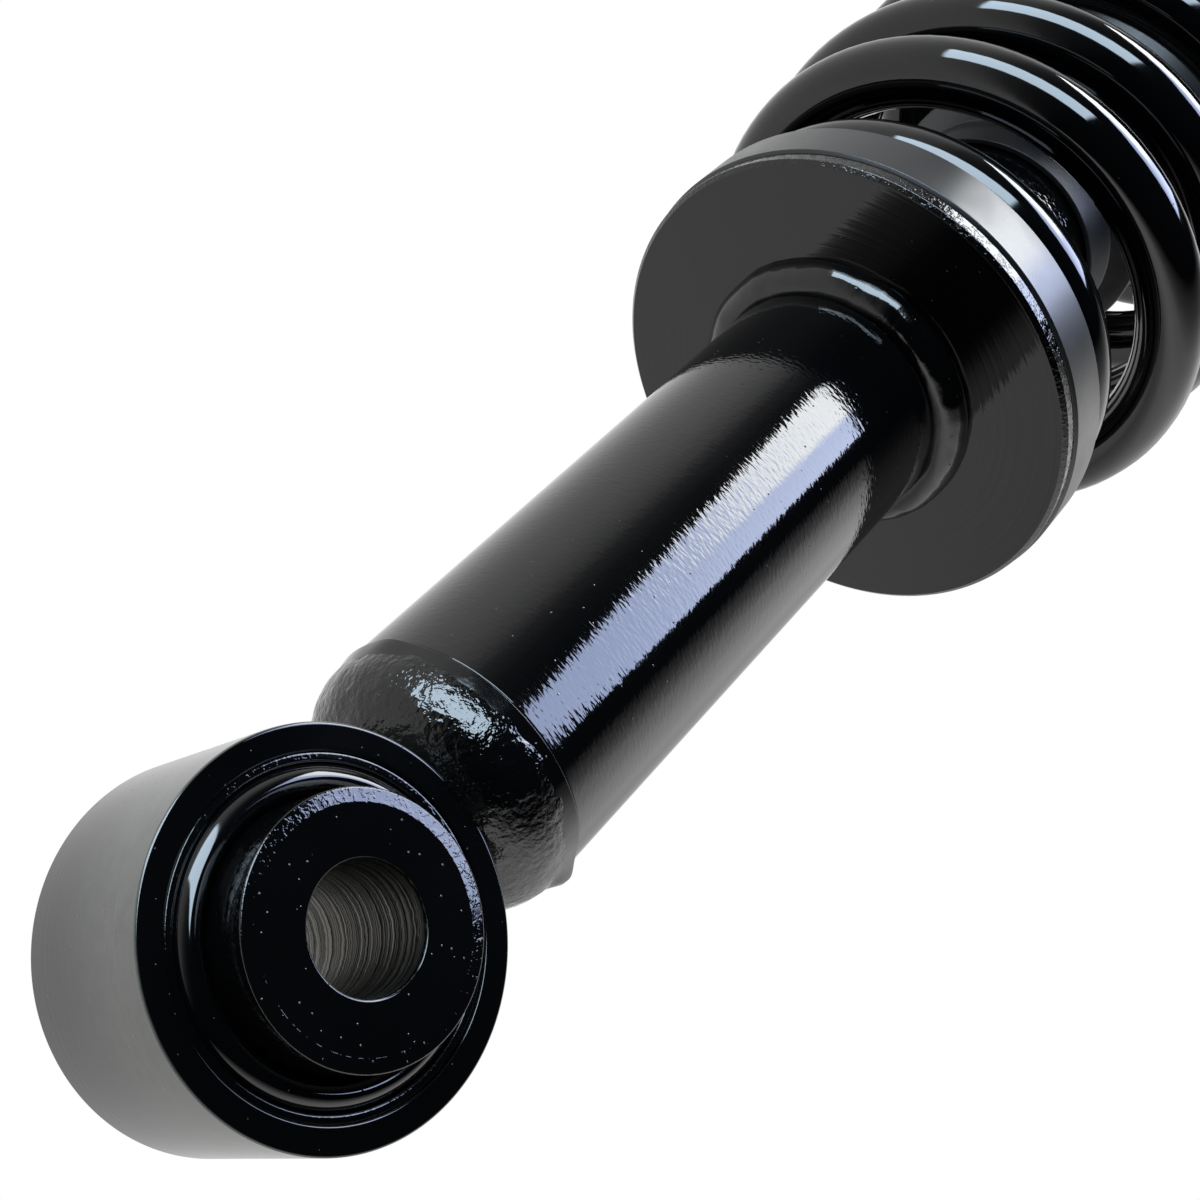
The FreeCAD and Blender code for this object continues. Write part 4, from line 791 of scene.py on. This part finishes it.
# ---------------------------------------------------------------- mount studs
# Three M10 studs pressed in from below. A knurled collar grips the plate, a flat head
# lies under it, and the thread above takes the tower's nut.
stud_circle = 64.0
stud_pitch = 1.5
stud_radius = 5.0
stud_thread = (471.4, 495.0)
stud_tip = 496.0
knurl_radius = 5.5
head_radius = 8.0
head_foot = 461.5
stud_corners = [
    (0, head_foot), (head_radius, head_foot, 0.5), (head_radius, plate_under, 0.4),
    (knurl_radius, plate_under), (knurl_radius, plate_top), (4.9, 470.3), (4.9, 471.0)]
stud_corners += [(stud_radius, level) for level in rows(*stud_thread, stud_pitch)]
stud_corners += [(4.2, stud_tip, 0.2), (0, stud_tip)]
first_stud = turned("mount_stud_1", stud_corners, slices=64)
cut_thread(first_stud, stud_radius, *stud_thread, stud_pitch)
stud_zinc = worked_metal("stud zinc", (0.60, 0.57, 0.44), 0.30, feed="height Z", rings=2000.0, cut=1.5,
                         mottle=0.3)
studs = [first_stud]
for number in (2, 3):
    twin = first_stud.copy()
    twin.data = first_stud.data.copy()
    twin.name = "mount_stud_%d" % number
    bpy.context.collection.objects.link(twin)
    studs.append(twin)
for rank, stud in enumerate(studs):
    heading = math.radians(120 * rank)
    away = Vector((math.cos(heading), math.sin(heading), 0)) * stud_circle * MM
    stud.data.transform(Matrix.Translation(away))
    hand_over(stud, stud_zinc, "rod_and_mount", "zinc_plate", *(["mount_studs"] if rank == 0 else []))

# ---------------------------------------------------------------- upper spring seat
# Pressed from 3 mm sheet: a raised crown under the plate, a flange over the top coil and
# a short skirt outside. Every bend keeps the press tool's radius.
sheet = 3.0
crown_bore = 27.0
crown_radius = 43.0
flange_under = 452.0
skirt_radius = 66.0
skirt_foot = 446.0
upper_seat = turned("upper_seat_pressing", [
    (crown_bore, plate_under - sheet, 0.4), (crown_radius - sheet, plate_under - sheet, 1.2),
    (crown_radius - sheet, flange_under, 2.5), (skirt_radius - sheet, flange_under, 1.2),
    (skirt_radius - sheet, skirt_foot, 0.4), (skirt_radius, skirt_foot, 0.5),
    (skirt_radius, flange_under + sheet, 3.0), (crown_radius, flange_under + sheet, 1.2),
    (crown_radius, plate_under, 2.6), (crown_bore, plate_under, 0.4)], slices=240, steps=6)
upper_paint = gloss_paint("upper seat paint", feed="radius Z", rings=500.0, cut=3.0, peel=1.4,
                          peel_scale=150.0, nib_share=0.06, rough=0.09)
hand_over(upper_seat, upper_paint, "rod_and_mount", "black_paint", "upper_spring_seat")

# ---------------------------------------------------------------- upper isolator
# Moulded rubber between the top coil and the seat, with a lip inside the coil. It comes
# from the same compound as the lower one, and lies flat against the seat's flange.
upper_lip_inside = 41.2
upper_lip_outside = 44.6
upper_lip_foot = 442.0
upper_pad_radius = 61.0
upper_pad = turned("upper_pad", [
    (upper_lip_inside, upper_lip_foot, 1.0), (upper_lip_outside, upper_lip_foot, 1.0),
    (upper_lip_outside, coil_top, 0.8), (upper_pad_radius, coil_top, 0.8),
    (upper_pad_radius, flange_under, 0.4), (upper_lip_inside, flange_under, 0.4)], slices=200)
hand_over(upper_pad, pad_rubber, "rod_and_mount", "rubber", "upper_isolator")

# ---------------------------------------------------------------- hydraulic parts
# The pressure tube, valves, guide and seal inside the damper. They keep their packed
# solids, each in its own metal, rubber or filled PTFE.
repaint(worked_metal("pressure tube steel", (0.42, 0.41, 0.39), 0.25, feed="height Z", rings=1800.0, cut=1.5),
        "pressure_tube", "rebound_stop_ring")
repaint(worked_metal("blued valve steel", (0.24, 0.25, 0.30), 0.22, rings=1500.0, cut=1.0),
        "base_valve_shims", "base_valve_pin", "base_check_plate", "seal_washer", "piston_stop_washer",
        "piston_check_plate", "piston_shims")
repaint(worked_metal("sintered steel", (0.26, 0.25, 0.24), 0.5, grain=60.0),
        "base_valve_body", "rod_guide", "piston")
repaint(moulded_rubber("seal rubber", (0.012, 0.012, 0.013), 0.4, 1500.0, 10.0),
        "rod_seal", "rebound_cushion")
repaint(moulded_rubber("filled ptfe", (0.09, 0.08, 0.07), 0.45, 2000.0, 6.0), "guide_bush", "piston_band")

# ---------------------------------------------------------------- studio
# A pale floor, seen only from above, a bright hall on one side of the strut and a dark
# one on the other. A tall window of cool light is in the dark side, and a wide low one
# where the hall grows dark.
bpy.ops.object.select_all(action="DESELECT")
floor_gap = 0.4 * MM
bpy.ops.mesh.primitive_plane_add(size=6.0, location=(0, 0, cad_low.z - floor_gap))
floor = bpy.context.object
floor.name = "floor"
floor_look, floor_tree, floor_shader, floor_place = new_material("floor")
floor_mottle = clouds(floor_tree, floor_place, 12.0, 4.0)
floor_tint = blend(floor_tree, floor_mottle, (0.80, 0.80, 0.79), (0.84, 0.84, 0.83))
floor_tree.links.new(floor_tint, floor_shader.inputs["Base Color"])
floor_shader.inputs["Roughness"].default_value = 0.9
floor_under = put(floor_tree, "MixShader", {
    0: put(floor_tree, "NewGeometry").outputs["Backfacing"], 1: floor_shader.outputs[0],
    2: put(floor_tree, "BsdfTransparent").outputs[0]})
floor_tree.links.new(floor_under.outputs[0], floor_tree.nodes["Material Output"].inputs["Surface"])
floor.data.materials.append(floor_look)
floor.visible_glossy = False
floor.visible_diffuse = False
floor.visible_shadow = False
floor.visible_transmission = False

world = bpy.data.worlds.new("studio")
bpy.context.scene.world = world
world.use_nodes = True
sky = world.node_tree
sky.nodes.clear()
heading_way = put(sky, "SeparateXYZ", {"Vector": put(sky, "TexCoord").outputs["Generated"]}).outputs
azimuth = reckon(sky, "ARCTAN2", heading_way["Y"], heading_way["X"])
elevation = reckon(sky, "ARCSINE", heading_way["Z"])

# how bright the hall is along each heading in degrees, held by the ramp as shares of its full level
full_level = 2.0
turn_share = reckon(sky, "MULTIPLY_ADD", azimuth, 1 / (2 * math.pi), 0.5)
hall_ramp = put(sky, "ValToRGB", {"Fac": turn_share})
hall_levels = [
    (-180, 0.95), (-168, 0.85), (-155, 0.6), (-143, 0.2), (-130, 0.06), (-112, 0.0), (-44, 0.0), (-30, 0.5),
    (-17, 1.3), (0, 1.6), (20, 1.3), (32, 0.85), (50, 0.62), (66, 0.9), (90, 1.0), (120, 1.05), (150, 0.95),
    (180, 0.95)]
stops = hall_ramp.color_ramp.elements
while len(stops) < len(hall_levels):
    stops.new(0.5)
for stop, (heading, level) in zip(stops, hall_levels):
    stop.position = heading / 360 + 0.5
    stop.color = (*[level / full_level] * 3, 1)
hall = reckon(sky, "MULTIPLY", hall_ramp.outputs["Color"], full_level)


def pane(left, right, low, high, soft):
    """A window between headings in radians, which may slant, and heights in degrees, with soft edges."""
    edge = math.radians(soft)
    after_left = rising(sky, reckon(sky, "SUBTRACT", azimuth, left), -edge, edge)
    before_right = rising(sky, reckon(sky, "SUBTRACT", azimuth, right), -edge, edge, 1.0, 0.0)
    above = rising(sky, elevation, math.radians(low - soft), math.radians(low + soft))
    below = rising(sky, elevation, math.radians(high - soft), math.radians(high + soft), 1.0, 0.0)
    across = reckon(sky, "MULTIPLY", after_left, before_right)
    return reckon(sky, "MULTIPLY", across, reckon(sky, "MULTIPLY", above, below))


# a tall window, slanting at both sides, cool below and whiter above on its left
left_slant, right_slant, slant_height = -1.6, 4.0, 38
left_offset = math.radians(-104 - left_slant * slant_height)
right_offset = math.radians(-57 - right_slant * slant_height)
tall_left = reckon(sky, "MULTIPLY_ADD", elevation, left_slant, left_offset)
tall_right = reckon(sky, "MULTIPLY_ADD", elevation, right_slant, right_offset)
tall_right = reckon(sky, "MAXIMUM", tall_right, math.radians(-80.5))
tall_right = reckon(sky, "MINIMUM", tall_right, math.radians(-62))
tall = pane(tall_left, tall_right, 31.3, 62.0, 0.5)
cool_share = rising(sky, elevation, math.radians(38), math.radians(43))
cool = blend(sky, cool_share, (6.3, 7.5, 11.3), (8.2, 9.4, 13.0))
core_above = rising(sky, elevation, math.radians(42), math.radians(45.5))
core_left = rising(sky, azimuth, math.radians(-88), math.radians(-80), 1.0, 0.0)
tall_tint = blend(sky, reckon(sky, "MULTIPLY", core_above, core_left), cool, (14.6, 15.1, 15.5))
tall_glow = put(sky, "VectorMath", {0: tall_tint, "Scale": tall}, operation="SCALE")
# a wide low window on the left of it
wide = pane(math.radians(-165), math.radians(-110), -17.0, 12.5, 1.2)
wide_glow = put(sky, "VectorMath", {0: (10.0, 12.6, 15.0), "Scale": wide}, operation="SCALE")
glow = put(sky, "VectorMath", {0: tall_glow.outputs[0], 1: wide_glow.outputs[0]}, operation="ADD")
hall_white = put(sky, "CombineXYZ", {0: hall, 1: hall, 2: hall})
lit = put(sky, "VectorMath", {0: glow.outputs[0], 1: hall_white.outputs[0]}, operation="ADD")
around = put(sky, "Background", {"Color": lit.outputs[0]})
backdrop = put(sky, "Background", {"Color": (1, 1, 1, 1)})
seen = put(sky, "MixShader", {
    0: put(sky, "LightPath").outputs["Is Camera Ray"], 1: around.outputs[0], 2: backdrop.outputs[0]})
put(sky, "OutputWorld", {"Surface": seen.outputs[0]})
bpy.context.scene.view_settings.view_transform = "Standard"

# ---------------------------------------------------------------- camera
# Low under the eye, looking up along the strut, so that the eye fills one corner. The lens
# is a little longer than a normal one, on a sensor 36 mm wide.
view_forward = Vector((0.217, 0.747, 0.628)).normalized()
view_right = view_forward.cross(Vector((-0.811, -0.220, 0.542))).normalized()
view_up = view_right.cross(view_forward)
camera_data = bpy.data.cameras.new("camera")
camera_data.sensor_width = 36.0
camera_data.lens = 57.35
camera_data.clip_start = 0.01
camera = bpy.data.objects.new("camera", camera_data)
bpy.context.collection.objects.link(camera)
turned_to = Matrix((view_right, view_up, -view_forward)).transposed()
camera.matrix_world = Matrix.Translation((-0.0797, -0.2632, -0.1283)) @ turned_to.to_4x4()
bpy.context.scene.camera = camera
